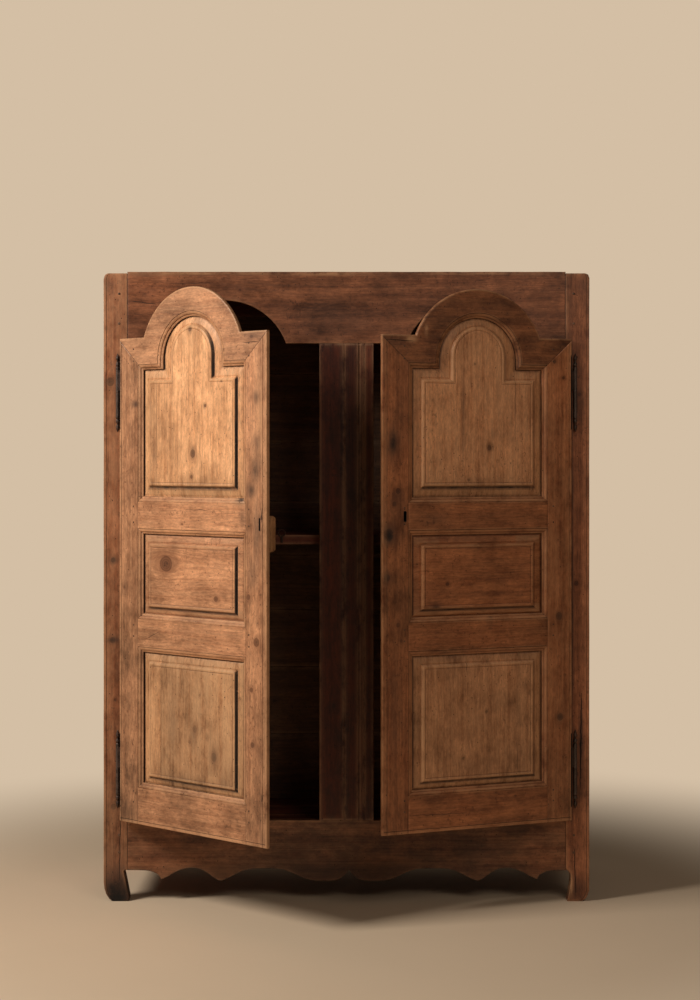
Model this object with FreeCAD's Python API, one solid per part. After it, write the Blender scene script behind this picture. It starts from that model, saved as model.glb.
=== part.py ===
import FreeCAD, Part
import math
import os
from FreeCAD import Vector as V

# Two-door panelled armoire in old pine. Millimetres; X to the right, Y to the back, Z up.
# The front face of the frame is built at Y = 0 and the whole piece is centred in depth at the end.

# ---- carcass sizes -------------------------------------------------------------------------
WIDTH = 1544.0
HEIGHT = 2000.0
DEPTH = 500.0
STILE_W = 76.0            # front stiles, face width
STILE_D = 50.0
POST_W = 70.0             # back posts
POST_D = 45.0
RAIL_T = 32.0             # front top and bottom rails
CENTRE_W = 172.0          # centre stile
CENTRE_T = 22.0
SILL_Z = 257.0            # top edge of the front bottom rail
HEAD_Z = 1772.0           # lower edge of the front top rail
SIDE_T = 28.0             # side rails
SIDE_PANEL_T = 12.0
FLOOR_Z = 242.0
BOARD_T = 20.0
SHELF_Z = 1161.0
SHELF_T = 30.0
SHELF_FRONT = 64.0
ROOF_Z = 1975.0
BACK_Y = 484.5
BACK_T = 14.5
BACK_JOINTS = [232.0, 462.0, 692.0, 888.0, 1075.0, 1259.0, 1462.0, 1695.0, 1988.0]

# ---- door sizes ----------------------------------------------------------------------------
DOOR_W = 653.0
DOOR_EDGE = 711.0         # hinge edge of a closed door, from the middle of the cabinet
DOOR_Z0 = 260.0
DOOR_SHOULDER = 1785.0
ARCH_Z = 1704.0           # centre height of the door's round head and of the cut-out behind it
ARCH_R = 228.0
CUT_R = 204.0
LIP_T = 13.0              # part of the door that stands in front of the frame
DOOR_T = 30.0
REBATE_HINGE = 18.0
REBATE_LOCK = 31.5
REBATE_TOP = 16.0
BACK_ARCH_R = 200.0
MEMBER_W = 104.0          # stile width to the sight edge
MOULD_W = 17.0
PANEL_FIELDS = 34.0       # margin at the sides of a raised field
GROOVE = 10.0
SIGHTS = [(392.0, 801.0), (921.0, 1171.0)]
TOP_SIGHT_Z0 = 1288.0
TOP_SIGHT_Z1 = 1684.0     # shoulders of the round-headed panel
NECK = 132.0
NECK_Z = 1710.0
HINGE_X = 726.0           # hinge axis
HINGE_Y = -6.5
HINGE_Z = (421.0, 1615.0)
KNUCKLE_R = 6.2
KNUCKLE_H = 78.0
PIN_R = 3.0
LEFT_OPEN = 41.5
RIGHT_OPEN = 22.5
PEG_R = 3.0

nodes = {}


def box(x0, x1, y0, y1, z0, z1):
    return Part.makeBox(x1 - x0, y1 - y0, z1 - z0, V(x0, y0, z0))


def cyl_y(x, z, r, y0, y1):
    return Part.makeCylinder(r, y1 - y0, V(x, y0, z), V(0, 1, 0))


def cyl_z(x, y, r, z0, z1):
    return Part.makeCylinder(r, z1 - z0, V(x, y, z0), V(0, 0, 1))


def prism(points, y0, y1):
    """Polygon in the X-Z plane carried from depth y0 to depth y1."""
    wire = Part.makePolygon([V(x, y0, z) for x, z in points] + [V(points[0][0], y0, points[0][1])])
    return Part.Face(wire).extrude(V(0, y1 - y0, 0))


def turned(profile, x, y, z):
    """Solid of revolution about a vertical axis from (radius, height) pairs."""
    pts = [V(x + r, y, z + h) for r, h in profile]
    pts = [V(x, y, z + profile[0][1])] + pts + [V(x, y, z + profile[-1][1]), V(x, y, z + profile[0][1])]
    clean = [pts[0]]
    for p in pts[1:]:
        if (p - clean[-1]).Length > 1e-6:
            clean.append(p)
    return Part.Face(Part.makePolygon(clean)).revolve(V(x, y, 0), V(0, 0, 1), 360)


def mirrored(shape):
    return shape.mirror(V(0, 0, 0), V(1, 0, 0))


def cut(shape, *tools):
    for tool in tools:
        shape = shape.cut(tool)
    return shape


# ---- pegged joints of the carcass ----------------------------------------------------------
carcass_pegs = []


def peg_x(x, y, z, length):
    """Peg through a joint, driven from the side; returns the hole."""
    carcass_pegs.append(Part.makeCylinder(4.0, length, V(x, y, z), V(1, 0, 0)))
    return Part.makeCylinder(4.0, length, V(x, y, z), V(1, 0, 0))


def peg_y(x, z, y0, y1):
    carcass_pegs.append(cyl_y(x, z, 4.0, y0, y1))
    return cyl_y(x, z, 4.0, y0, y1)


HALF = WIDTH / 2
INNER = HALF - STILE_W
POST_IN = HALF - POST_W
SIDE_IN = HALF - SIDE_T

# Front stiles run to the floor as feet. The outer corner of each foot is worn round, and the inner
# edge is cut back under the shaped apron. The head of each stile is rounded on its outer corner.
left_foot = [(-HALF, 60), (-770, 40), (-764, 22), (-754, 7), (-742, 0), (-691, 0), (-692, 17), (-702, 66),
             (-708, 93), (-706, 99), (-INNER, 104)]
left_head = [(-INNER, 1995), (-HALF + 13, 1995), (-HALF + 4, 1990), (-HALF, 1976)]
left_stile = prism(left_foot + left_head, 0, STILE_D)
right_foot = [(INNER, 104), (704, 96), (711, 88), (713, 70), (709, 40), (704, 12), (700, 0), (746, 0), (762, 10),
              (HALF, 34)]
right_head = [(HALF, 1980), (HALF - 4, 1991), (HALF - 13, 1995), (INNER, 1995)]
right_stile = prism(right_foot + right_head, 0, STILE_D)

# The top rail carries the two round cut-outs for the door heads.
def cut_out(cx, r, z0):
    """Round-headed cut-out seen from the front: straight sides below the spring of the arc."""
    half = math.sqrt(r * r - (z0 - ARCH_Z) ** 2)
    start, top, end = V(cx - half, -5, z0), V(cx, -5, ARCH_Z + r), V(cx + half, -5, z0)
    edges = [Part.Arc(start, top, end).toShape(), Part.makeLine(end, start)]
    return Part.Face(Part.Wire(edges)).extrude(V(0, RAIL_T + 10, 0))


DOOR_C = DOOR_EDGE - DOOR_W / 2
TENON_Y = (10.0, 22.0)
top_rail = box(-INNER, INNER, 0, RAIL_T, HEAD_Z, HEIGHT)
for s in (-1, 1):
    top_rail = top_rail.cut(cut_out(s * DOOR_C, CUT_R, HEAD_Z - 0.01))
top_tenons = [box(INNER, INNER + 50, *TENON_Y, 1800, 1965), box(-INNER - 50, -INNER, *TENON_Y, 1800, 1965)]
top_rail = top_rail.fuse(top_tenons)

# The bottom rail has a shaped apron: a notch in the middle, flat lobes either side of it, a long
# hollow, a pointed lobe, a second hollow, and a cusp before the flat that runs into the foot.
APRON_C = 8.0
apron_inner = [(0, 99), (14, 83), (30, 71), (48, 66), (80, 64.5), (112, 66), (140, 72), (165, 83), (190, 94),
               (212, 101), (240, 103.5), (275, 104), (310, 102.5), (335, 97), (360, 86), (385, 73), (405, 65)]
apron_outer = [(405, 65), (414, 66), (428, 74), (450, 90), (475, 102), (500, 106), (522, 103), (548, 94),
               (572, 80), (597, 69)]
apron_end = [(597, 69), (602, 79), (615, 89), (635, 96), (660, 98), (690, 98.5)]


def apron_edge(points, side):
    curve = Part.BSplineCurve()
    curve.interpolate([V(APRON_C + side * x, 0, z) for x, z in points])
    return curve.toShape()


def bottom_rail_shape():
    edges = []
    for side in (-1, 1):
        for pts in (apron_inner, apron_outer, apron_end):
            edges.append(apron_edge(pts, side))
    left_end = V(APRON_C - 690, 0, 98.5)
    right_end = V(APRON_C + 690, 0, 98.5)
    outline = [left_end, V(-INNER, 0, 98.5), V(-INNER, 0, SILL_Z), V(INNER, 0, SILL_Z)]
    edges.append(Part.makeLine(right_end, V(INNER + 4, 0, 98.5)))
    edges.append(Part.makeLine(V(INNER + 4, 0, 98.5), V(INNER + 4, 0, SILL_Z)))
    edges.append(Part.makeLine(V(INNER + 4, 0, SILL_Z), outline[2]))
    edges.append(Part.makeLine(outline[2], outline[1]))
    edges.append(Part.makeLine(outline[1], left_end))
    wire = Part.Wire(Part.__sortEdges__(edges))
    blank = Part.Face(wire).extrude(V(0, RAIL_T, 0))
    return blank.common(box(-INNER, INNER, -1, RAIL_T + 1, 0, 400))


bottom_rail = bottom_rail_shape()
low_tenons = [box(INNER, INNER + 50, *TENON_Y, 130, 235), box(-INNER - 50, -INNER, *TENON_Y, 130, 235)]
bottom_rail = bottom_rail.fuse(low_tenons)

# The centre stile has two narrow grooves with a bead beside the right-hand one.
CS_X0, CS_X1 = -86.0, CENTRE_W - 86.0
centre = box(CS_X0, CS_X1, 0, CENTRE_T, SILL_Z, HEAD_Z)
for gx, gw, gd in ((-9, 2.5, 2.5), (37, 5.0, 3.0), (55, 2.0, 2.0)):
    centre = centre.cut(box(gx, gx + gw, -1, gd, SILL_Z - 1, HEAD_Z + 1))
CS_TENON = (6.0, 16.0)
centre_tenons = [box(-60, 60, *CS_TENON, SILL_Z - 40, SILL_Z), box(-60, 60, *CS_TENON, HEAD_Z, HEAD_Z + 40)]
centre = centre.fuse(centre_tenons)
bottom_rail = bottom_rail.cut(centre_tenons[0])
top_rail = top_rail.cut(centre_tenons[1])

# Back posts with a rebate for the boards, and the two back rails between them.
def back_post(side):
    post = box(POST_IN, HALF, DEPTH - POST_D, DEPTH, 0, 1995)
    post = post.cut(box(POST_IN - 1, POST_IN + 20, BACK_Y - 0.5, DEPTH + 1, BACK_JOINTS[0] - 0.5, 1996))
    return post if side > 0 else mirrored(post)


back_left, back_right = back_post(-1), back_post(1)
back_rails = {}
for name, z0, z1 in (("back_top_rail", 1890, 1974), ("back_bottom_rail", 122, 221)):
    rail = box(-POST_IN, POST_IN, DEPTH - POST_D, DEPTH - POST_D + 25, z0, z1)
    for s in (-1, 1):
        tenon = box(POST_IN, POST_IN + 35, 462, 472, z0 + 15, z1 - 15)
        tenon = tenon if s > 0 else mirrored(tenon)
        rail = rail.fuse(tenon)
        if s > 0:
            back_right = back_right.cut(tenon)
        else:
            back_left = back_left.cut(tenon)
    back_rails[name] = rail

# Mortises for the front rails, with a peg through each pair.
for tenons, zs in ((top_tenons, (1835, 1930)), (low_tenons, (155, 210))):
    for s, tenon in ((1, tenons[0]), (-1, tenons[1])):
        holes = [peg_y(s * (INNER + 26), z, -0.8, 40) for z in zs]
        if s > 0:
            right_stile = cut(right_stile, tenon, *holes)
        else:
            left_stile = cut(left_stile, tenon, *holes)
        for hole in holes:
            if tenons is top_tenons:
                top_rail = top_rail.cut(hole)
            else:
                bottom_rail = bottom_rail.cut(hole)

# Sides: three rails tenoned between the front stile and the back post, and flat panels in grooves.
SIDE_RAILS = (("top", 1880.0, 1995.0), ("middle", 1080.0, 1180.0), ("bottom", 140.0, 262.0))
side_rails = {}
for name, z0, z1 in SIDE_RAILS:
    rail = box(SIDE_IN, HALF, STILE_D, DEPTH - POST_D, z0, z1)
    z_top = z1 - 30 if name == "top" else z1 - 15
    tenons = [box(753, 763, STILE_D - 34, STILE_D, z0 + 15, z_top),
              box(753, 763, DEPTH - POST_D, DEPTH - POST_D + 20, z0 + 15, z_top)]
    rail = rail.fuse(tenons)
    if name != "bottom":
        rail = rail.cut(box(752, 764, STILE_D - 1, DEPTH - POST_D + 1, z0 - 1, z0 + 12))
    if name != "top":
        rail = rail.cut(box(752, 764, STILE_D - 1, DEPTH - POST_D + 1, z1 - 12, z1 + 1))
    if name == "top":
        rail = rail.cut(box(SIDE_IN - 1, SIDE_IN + 14, STILE_D - 1, DEPTH - POST_D + 1, ROOF_Z, HEIGHT))
    side_rails[name] = (rail, tenons)
side_panels = []
for z0, z1 in ((1180.0, 1880.0), (262.0, 1080.0)):
    side_panels.append(box(752.3, 763.7, STILE_D + 0.3, DEPTH - POST_D - 0.3, z0 - 11, z1 + 11))
panels_both = {1: Part.makeCompound(side_panels), -1: Part.makeCompound([mirrored(p) for p in side_panels])}

side_nodes = {}
for side, word in ((-1, "left"), (1, "right")):
    for name, (rail, tenons) in side_rails.items():
        work = rail
        mid = (tenons[0].BoundBox.ZMin + tenons[0].BoundBox.ZMax) / 2
        front_hole = peg_x(side * HALF + (0.8 if side > 0 else -0.8) - (24 if side > 0 else 0), 33, mid, 24)
        back_hole = peg_x(side * HALF + (0.8 if side > 0 else -0.8) - (24 if side > 0 else 0), 465, mid, 24)
        t = tenons if side > 0 else [mirrored(k) for k in tenons]
        work = work if side > 0 else mirrored(work)
        side_nodes[word + "_side_" + name + "_rail"] = cut(work, front_hole, back_hole)
        if side > 0:
            right_stile = cut(right_stile, t[0], front_hole)
            back_right = cut(back_right, t[1], back_hole)
        else:
            left_stile = cut(left_stile, t[0], front_hole)
            back_left = cut(back_left, t[1], back_hole)
    side_nodes[word + "_side_panels"] = panels_both[side]

# Boards: half-lapped back boards, roof boards on the side rails, floor boards and one shelf.
LAP = 9.0
for i in range(len(BACK_JOINTS) - 1):
    z0, z1 = BACK_JOINTS[i], BACK_JOINTS[i + 1]
    board = box(-POST_IN - 19.4, POST_IN + 19.4, BACK_Y, BACK_Y + BACK_T - 0.5, z0 + 0.4, z1 - 0.4)
    if i < len(BACK_JOINTS) - 2:
        board = board.fuse(box(-POST_IN - 19.4, POST_IN + 19.4, BACK_Y + 7.4, BACK_Y + BACK_T - 0.5, z1 - 1,
                               z1 + LAP))
    if i > 0:
        board = board.cut(box(-800, 800, BACK_Y + 7.0, BACK_Y + BACK_T, z0 - 1, z0 + LAP + 0.4))
    nodes["back_board_%d" % (i + 1)] = board

stile_clear = [box(s * 734 - 38.4, s * 734 + 38.4, -1, STILE_D + 0.4, 0, HEIGHT) for s in (-1, 1)]
post_clear = [box(s * 737 - 35.4, s * 737 + 35.4, DEPTH - POST_D - 0.4, DEPTH + 1, 0, HEIGHT) for s in (-1, 1)]


def boards_between(x_half, y_edges, z0, z1):
    out = []
    for a, b in zip(y_edges[:-1], y_edges[1:]):
        board = box(-x_half, x_half, a + 0.4, b - 0.4, z0, z1)
        out.append(cut(board, *stile_clear, *post_clear))
    return Part.makeCompound(out)


roof = boards_between(SIDE_IN + 13.4, [RAIL_T, 182, 335, BACK_Y], ROOF_Z, ROOF_Z + BOARD_T)
floor = boards_between(SIDE_IN - 0.5, [RAIL_T, 175, 330, BACK_Y], FLOOR_Z - BOARD_T, FLOOR_Z)
shelf = cut(box(-SIDE_IN + 0.5, SIDE_IN - 0.5, SHELF_FRONT, BACK_Y - 0.4, SHELF_Z - SHELF_T, SHELF_Z), *post_clear)
bearers = []
for s in (-1, 1):
    for top, height in ((SHELF_Z - SHELF_T, 26.0), (FLOOR_Z - BOARD_T, 24.0)):
        b = box(SIDE_IN - 22, SIDE_IN, STILE_D, DEPTH - POST_D, top - height, top)
        bearers.append(b if s > 0 else mirrored(b))
bearers.append(box(-INNER + 2, INNER - 2, RAIL_T, RAIL_T + 17.5, FLOOR_Z - BOARD_T - 24, FLOOR_Z - BOARD_T))
bearers.append(box(-INNER + 2, INNER - 2, RAIL_T, RAIL_T + 17.5, ROOF_Z - 24, ROOF_Z))

# Keeper behind the centre stile, where the turn button of the left door catches.
keeper = box(-84, -34, CENTRE_T, CENTRE_T + 15.5, 1152, 1212)

# Iron eye on the front edge of the shelf: a ring above a small plate let against the edge.
EYE_X = -208.5
EYE_Z = 1168.0
eye_y = SHELF_FRONT - 4.2
ring = Part.makeTorus(11.0, 2.1, V(EYE_X, eye_y, EYE_Z), V(0, 1, 0))
plate = box(EYE_X - 4, EYE_X + 4, SHELF_FRONT - 2.5, SHELF_FRONT, 1136, 1157)
neck = cyl_z(EYE_X, eye_y, 2.4, 1142, 1158)
eye = ring.fuse([plate, neck])

# ---- hinges: two-knuckle loose-pin hinges with turned finials --------------------------------
FINIAL = [(6.2, 0), (6.2, 2.5), (4.2, 4), (4.0, 6), (6.0, 9), (6.3, 12), (6.0, 15), (3.6, 19), (3.2, 22),
          (4.9, 26), (5.6, 31), (5.0, 36), (3.2, 41), (1.6, 45), (0.8, 47)]


def finial(x, y, z, up):
    shape = turned(FINIAL, x, y, 0)
    if not up:
        shape = shape.mirror(V(0, 0, 0), V(0, 0, 1))
    shape.translate(V(0, 0, z))
    return shape


frame_hinges = []
door_knuckles = []
leaf_slots_frame = []
leaf_slots_door = []
for hz in HINGE_Z:
    x, y = -HINGE_X, HINGE_Y
    low = cyl_z(x, y, KNUCKLE_R, hz - KNUCKLE_H, hz - 0.2).fuse(finial(x, y, hz - KNUCKLE_H, False))
    leaf = box(x - 1.5, x + 1.5, y, 30, hz - 70, hz - 8)
    leaf_slots_frame.append(box(x - 1.5, x + 1.5, 0, 30, hz - 70, hz - 8))
    pin = cyl_z(x, y, PIN_R, hz - 20, hz + 62)
    frame_hinges.append(low.fuse([leaf, pin]))
    high = cyl_z(x, y, KNUCKLE_R, hz + 0.2, hz + KNUCKLE_H).fuse(finial(x, y, hz + KNUCKLE_H, True))
    leaf = box(x, x + 38, y - 1.5, y + 1.5, hz + 8, hz + 70)
    leaf_slots_door.append(box(-DOOR_EDGE - 1, x + 38, y - 1.5, y + 1.5, hz + 8, hz + 70))
    high = high.fuse(leaf).cut(cyl_z(x, y, PIN_R + 0.05, hz - 1, hz + 63))
    door_knuckles.append(high)
left_stile = cut(left_stile, *leaf_slots_frame)
right_stile = cut(right_stile, *[mirrored(k) for k in leaf_slots_frame])

nodes["front_left_stile"] = left_stile
nodes["front_right_stile"] = right_stile
nodes["back_left_post"] = back_left
nodes["back_right_post"] = back_right
nodes["front_top_rail"] = top_rail
nodes["front_bottom_rail"] = bottom_rail
nodes["centre_stile"] = centre
nodes.update(back_rails)
nodes.update(side_nodes)
nodes["roof_boards"] = roof
nodes["floor_boards"] = floor
nodes["shelf"] = shelf
nodes["board_bearers"] = Part.makeCompound(bearers)
nodes["button_keeper"] = keeper
nodes["shelf_eye"] = eye
nodes["carcass_pegs"] = Part.makeCompound(carcass_pegs)
nodes["frame_hinges"] = Part.makeCompound(frame_hinges + [mirrored(h) for h in frame_hinges])


# ---- doors: drawn with u from the hinge edge and n from the front face back -------------------
def to_left(shape):
    moved = shape.copy()
    moved.translate(V(-DOOR_EDGE, -LIP_T, 0))
    return moved


def rect_wire(n, u0, u1, z0, z1):
    pts = [V(u0, n, z0), V(u1, n, z0), V(u1, n, z1), V(u0, n, z1), V(u0, n, z0)]
    return Part.makePolygon(pts)


def keyhole_wire(n, half, z0, z1, neck, centre_z):
    """Round-headed outline: wide below the shoulders at z1, a narrower neck, then a half circle."""
    c = DOOR_W / 2
    pts = [V(c - neck, n, centre_z), V(c - neck, n, z1), V(c - half, n, z1), V(c - half, n, z0), V(c + half, n, z0),
           V(c + half, n, z1), V(c + neck, n, z1), V(c + neck, n, centre_z)]
    lines = [Part.makeLine(a, b) for a, b in zip(pts[:-1], pts[1:])]
    arc = Part.Arc(pts[-1], V(c, n, centre_z + neck), pts[0]).toShape()
    return Part.Wire(lines + [arc])


SIGHT_HALF = DOOR_W / 2 - MEMBER_W


def opening_wire(which, n, d):
    """Sight outline of an opening, grown by d on every side, at depth n."""
    c = DOOR_W / 2
    if which == "upper":
        return keyhole_wire(n, SIGHT_HALF + d, TOP_SIGHT_Z0 - d, TOP_SIGHT_Z1 + d, NECK + d, NECK_Z)
    z0, z1 = SIGHTS[0] if which == "lower" else SIGHTS[1]
    return rect_wire(n, c - SIGHT_HALF - d, c + SIGHT_HALF + d, z0 - d, z1 + d)


def slab(which, d, n0, n1):
    return Part.Face(opening_wire(which, n0, d)).extrude(V(0, n1 - n0, 0))


def slope(wire_a, wire_b):
    return Part.makeLoft([wire_a, wire_b], True, True)


def door_outline(u0, u1, z0, z1, r):
    c = DOOR_W / 2
    half = math.sqrt(r * r - (z1 - ARCH_Z) ** 2)
    pts = [V(c - half, 0, z1), V(u0, 0, z1), V(u0, 0, z0), V(u1, 0, z0), V(u1, 0, z1), V(c + half, 0, z1)]
    lines = [Part.makeLine(a, b) for a, b in zip(pts[:-1], pts[1:])]
    arc = Part.Arc(pts[-1], V(c, 0, ARCH_Z + r), pts[0]).toShape()
    return Part.Face(Part.Wire(lines + [arc]))


# The whole framework of one door, before it is divided into its members.
lip = door_outline(0, DOOR_W, DOOR_Z0, DOOR_SHOULDER, ARCH_R).extrude(V(0, LIP_T, 0))
front_edges = [e for e in lip.Edges if e.BoundBox.YMax < 1e-6]
lip = lip.makeFillet(3.5, front_edges)
inner_part = door_outline(REBATE_HINGE, DOOR_W - REBATE_LOCK, DOOR_Z0, DOOR_SHOULDER - REBATE_TOP, BACK_ARCH_R)
inner_part = inner_part.extrude(V(0, DOOR_T - LIP_T, 0))
inner_part.translate(V(0, LIP_T, 0))
framework = lip.fuse(inner_part)
for qu in (10.0, DOOR_W - 16.0):
    framework = framework.cut(box(qu - 0.8, qu + 0.8, -1, 1.6, DOOR_Z0 - 1, DOOR_SHOULDER + 1))

OVOLO = [(15.2, 1.0), (12.5, 1.3), (10.0, 2.1), (8.0, 3.2), (6.8, 4.4), (6.3, 6.2), (1.0, 8.6), (0.6, 9.4)]
for which in ("upper", "middle", "lower"):
    tools = [slab(which, 0, -1, DOOR_T + 1), slab(which, GROOVE, 12.0, 19.0), slab(which, OVOLO[0][0], -1, 1.0)]
    quirk = slab(which, MOULD_W, -1, 2.0).cut(slab(which, OVOLO[0][0], -2, 3.0))
    tools.append(quirk)
    for (d0, n0), (d1, n1) in zip(OVOLO[:-1], OVOLO[1:]):
        tools.append(slope(opening_wire(which, n0, d0), opening_wire(which, n1, d1)))
    for tool in tools:
        framework = framework.cut(tool)

# Members: the rails end on the outer line of the moulding, the moulding itself is mitred, and the
# round head meets both stiles on a mitre that runs to the outer corner.
LO = [(z0 - MOULD_W, z0, z1, z1 + MOULD_W) for z0, z1 in SIGHTS + [(TOP_SIGHT_Z0, TOP_SIGHT_Z1)]]
A, B = MEMBER_W - MOULD_W, MEMBER_W
MITRE = (DOOR_SHOULDER - 5.0 - LO[2][3]) / A


def member(points):
    return prism(points, -2, DOOR_T + 2)


def both_sides(points):
    return points + [(DOOR_W - u, z) for u, z in reversed(points)]


stile_pts = [(-6, DOOR_Z0 - 5), (A, DOOR_Z0 - 5)]
for a0, b0, b1, a1 in LO:
    stile_pts += [(A, a0), (B, b0), (B, b1), (A, a1)]
stile_pts += [(-6, LO[2][3] + (A + 6) * MITRE)]
regions = {
    "bottom_rail": both_sides([(A, DOOR_Z0 - 5), (A, LO[0][0]), (B, LO[0][1])]),
    "lower_rail": both_sides([(B, LO[0][2]), (A, LO[0][3]), (A, LO[1][0]), (B, LO[1][1])]),
    "upper_rail": both_sides([(B, LO[1][2]), (A, LO[1][3]), (A, LO[2][0]), (B, LO[2][1])]),
    "arched_rail": both_sides([(B, LO[2][2]), (A, LO[2][3]), (-6, LO[2][3] + (A + 6) * MITRE), (-6, 2100)]),
}
members = {name: framework.common(member(points)) for name, points in regions.items()}
members["hinge_stile"] = framework.common(member(stile_pts))
members["lock_stile"] = framework.common(member([(DOOR_W - u, z) for u, z in reversed(stile_pts)]))

TENON_N = (11.0, 20.0)
PEG_U = {"hinge_stile": 67.0, "lock_stile": DOOR_W - 74.0}
JOINTS = {"bottom_rail": (285, 372, (328, 362)), "lower_rail": (826, 898, (849, 884)),
          "upper_rail": (1194, 1266, (1206, 1256)), "arched_rail": (1703, 1762, (1712, 1750))}
door_pegs = []
for rail, (t0, t1, peg_zs) in JOINTS.items():
    for stile, u0, u1 in (("hinge_stile", 42.0, A + 2), ("lock_stile", DOOR_W - A - 2, DOOR_W - 48.0)):
        tenon = box(u0, u1, *TENON_N, t0, t1)
        members[rail] = members[rail].fuse(tenon)
        members[stile] = members[stile].cut(tenon)
        for z in peg_zs:
            hole = cyl_y(PEG_U[stile], z, PEG_R, -0.5, DOOR_T)
            door_pegs.append(hole)
            members[rail] = members[rail].cut(hole)
            members[stile] = members[stile].cut(hole)

# Raised panels: a tongue in the groove, a margin that slopes down to it, and a raised field with a
# step at its edge and a scratched line that leaves a bead along it.
FIELD_N = 2.2
STEP_N = 8.2
STEP_W = 6.0
EDGE_N = 12.2


def field_wire(which, n, grow):
    c = DOOR_W / 2
    if which == "upper":
        return keyhole_wire(n, SIGHT_HALF - PANEL_FIELDS + grow, TOP_SIGHT_Z0 + 36 - grow, TOP_SIGHT_Z1 - 38 + grow,
                            88.0 + grow, 1723.0)
    z0, z1 = SIGHTS[0] if which == "lower" else SIGHTS[1]
    half = SIGHT_HALF - PANEL_FIELDS + grow
    return rect_wire(n, c - half, c + half, z0 + 26 - grow, z1 - 33 + grow)


panels = {}
for which in ("upper", "middle", "lower"):
    panel = slab(which, -0.4, EDGE_N, 22.0).fuse(slab(which, GROOVE - 1, 12.3, 18.7))
    margin = slope(opening_wire(which, EDGE_N, -0.4), field_wire(which, STEP_N, STEP_W))
    step = slope(field_wire(which, STEP_N, STEP_W), field_wire(which, FIELD_N, 0.0))
    bead_line = Part.Face(field_wire(which, 0, -6.6)).extrude(V(0, FIELD_N + 1.2, 0))
    bead_line = bead_line.cut(Part.Face(field_wire(which, -1, -8.8)).extrude(V(0, 8, 0)))
    panels[which + "_panel"] = panel.fuse([margin, step]).cut(bead_line)

hinge_edge_u = -(HINGE_X - DOOR_EDGE)


def finished_door(side):
    """All nodes of one door, closed, in cabinet coordinates."""
    out = {}
    for name, shape in list(members.items()) + list(panels.items()):
        out[name] = to_left(shape)
    out["pegs"] = to_left(Part.makeCompound(door_pegs))
    out["hinge_knuckles"] = Part.makeCompound(door_knuckles)
    out["hinge_stile"] = cut(out["hinge_stile"], *leaf_slots_door)
    if side > 0:
        out = {name: mirrored(shape) for name, shape in out.items()}
    return out


left = finished_door(-1)
right = finished_door(1)

# Left door: a narrow slot in the lock stile, and a wooden turn button on a packing block behind it.
slot = box(-DOOR_EDGE + 621.8, -DOOR_EDGE + 626.2, -LIP_T - 1, 18, 1194, 1230)
left["lock_stile"] = left["lock_stile"].cut(slot)
BUTTON_U = 601.0
BUTTON_Z = 1182.0
bx = -DOOR_EDGE + BUTTON_U
back_y = DOOR_T - LIP_T
spacer = box(bx - 18, bx + 18, back_y, back_y + 21.6, BUTTON_Z - 40, BUTTON_Z + 40)
button_pts = [(-18, -50), (-14, -54), (14, -54), (18, -50), (18, 50), (14, 54), (-14, 54), (-18, 50)]
button = prism([(bx + u, BUTTON_Z + z) for u, z in button_pts], back_y + 22, back_y + 44)
chamfers = []
for s in (-1, 1):
    tri = Part.makePolygon([V(bx - 20, back_y + 45, BUTTON_Z + s * 55), V(bx - 20, back_y + 45, BUTTON_Z + s * 46),
                            V(bx - 20, back_y + 36, BUTTON_Z + s * 55), V(bx - 20, back_y + 45, BUTTON_Z + s * 55)])
    chamfers.append(Part.Face(tri).extrude(V(40, 0, 0)))
button = cut(button, *chamfers, cyl_y(bx, BUTTON_Z, 4.05, 0, 80))
screw = cyl_y(bx, BUTTON_Z, 4.0, back_y + 2, back_y + 44.4)
screw = screw.fuse(cyl_y(bx, BUTTON_Z, 8.0, back_y + 44.2, back_y + 46))
left["lock_stile"] = left["lock_stile"].cut(screw)
spacer = spacer.cut(screw)
left["button_spacer"] = spacer
left["button_screw"] = screw

# Right door: keyhole, iron lock case on the back of the lock stile and its sliding bolt.
KEY_U = 577.0
KEY_Z = 1230.0
kx = DOOR_EDGE - KEY_U
keyhole = box(kx - 4, kx + 4, -LIP_T - 1, 20, KEY_Z - 12, KEY_Z + 12)
for s in (-1, 1):
    keyhole = keyhole.fuse(cyl_y(kx, KEY_Z + s * 12, 4.0, -LIP_T - 1, 20))
right["lock_stile"] = right["lock_stile"].cut(keyhole)
case = box(kx - 41, kx + 38, back_y, back_y + 22, KEY_Z - 40, KEY_Z + 40)
case = case.cut(box(kx - 60, kx + 30, back_y + 5.7, back_y + 14.3, KEY_Z - 30.3, KEY_Z - 9.7))
case = case.cut(keyhole)
bolt = box(kx - 41, kx + 6, back_y + 6, back_y + 14, KEY_Z - 30, KEY_Z - 10)
right["lock_case"] = case


def swing(shape, side, angle):
    turned_shape = shape.copy()
    turned_shape.rotate(V(side * HINGE_X, HINGE_Y, 0), V(0, 0, 1), side * angle)
    return turned_shape


for name, shape in left.items():
    nodes["left_door_" + name] = swing(shape, -1, LEFT_OPEN)
for name, shape in right.items():
    nodes["right_door_" + name] = swing(shape, 1, RIGHT_OPEN)
nodes["turn_button"] = swing(button, -1, LEFT_OPEN)
nodes["lock_bolt"] = swing(bolt, 1, RIGHT_OPEN)

# ---- centre the open cabinet in depth and write every node -----------------------------------
front = min(shape.BoundBox.YMin for shape in nodes.values())
back = max(shape.BoundBox.YMax for shape in nodes.values())
shift = V(0, -(front + back) / 2, 0)
os.makedirs("parts", exist_ok=True)
for name, shape in nodes.items():
    shape.translate(shift)
    shape.exportStep("parts/%s.step" % name)
print("nodes", len(nodes), "front face at Y", round(shift.y, 4))
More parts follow.
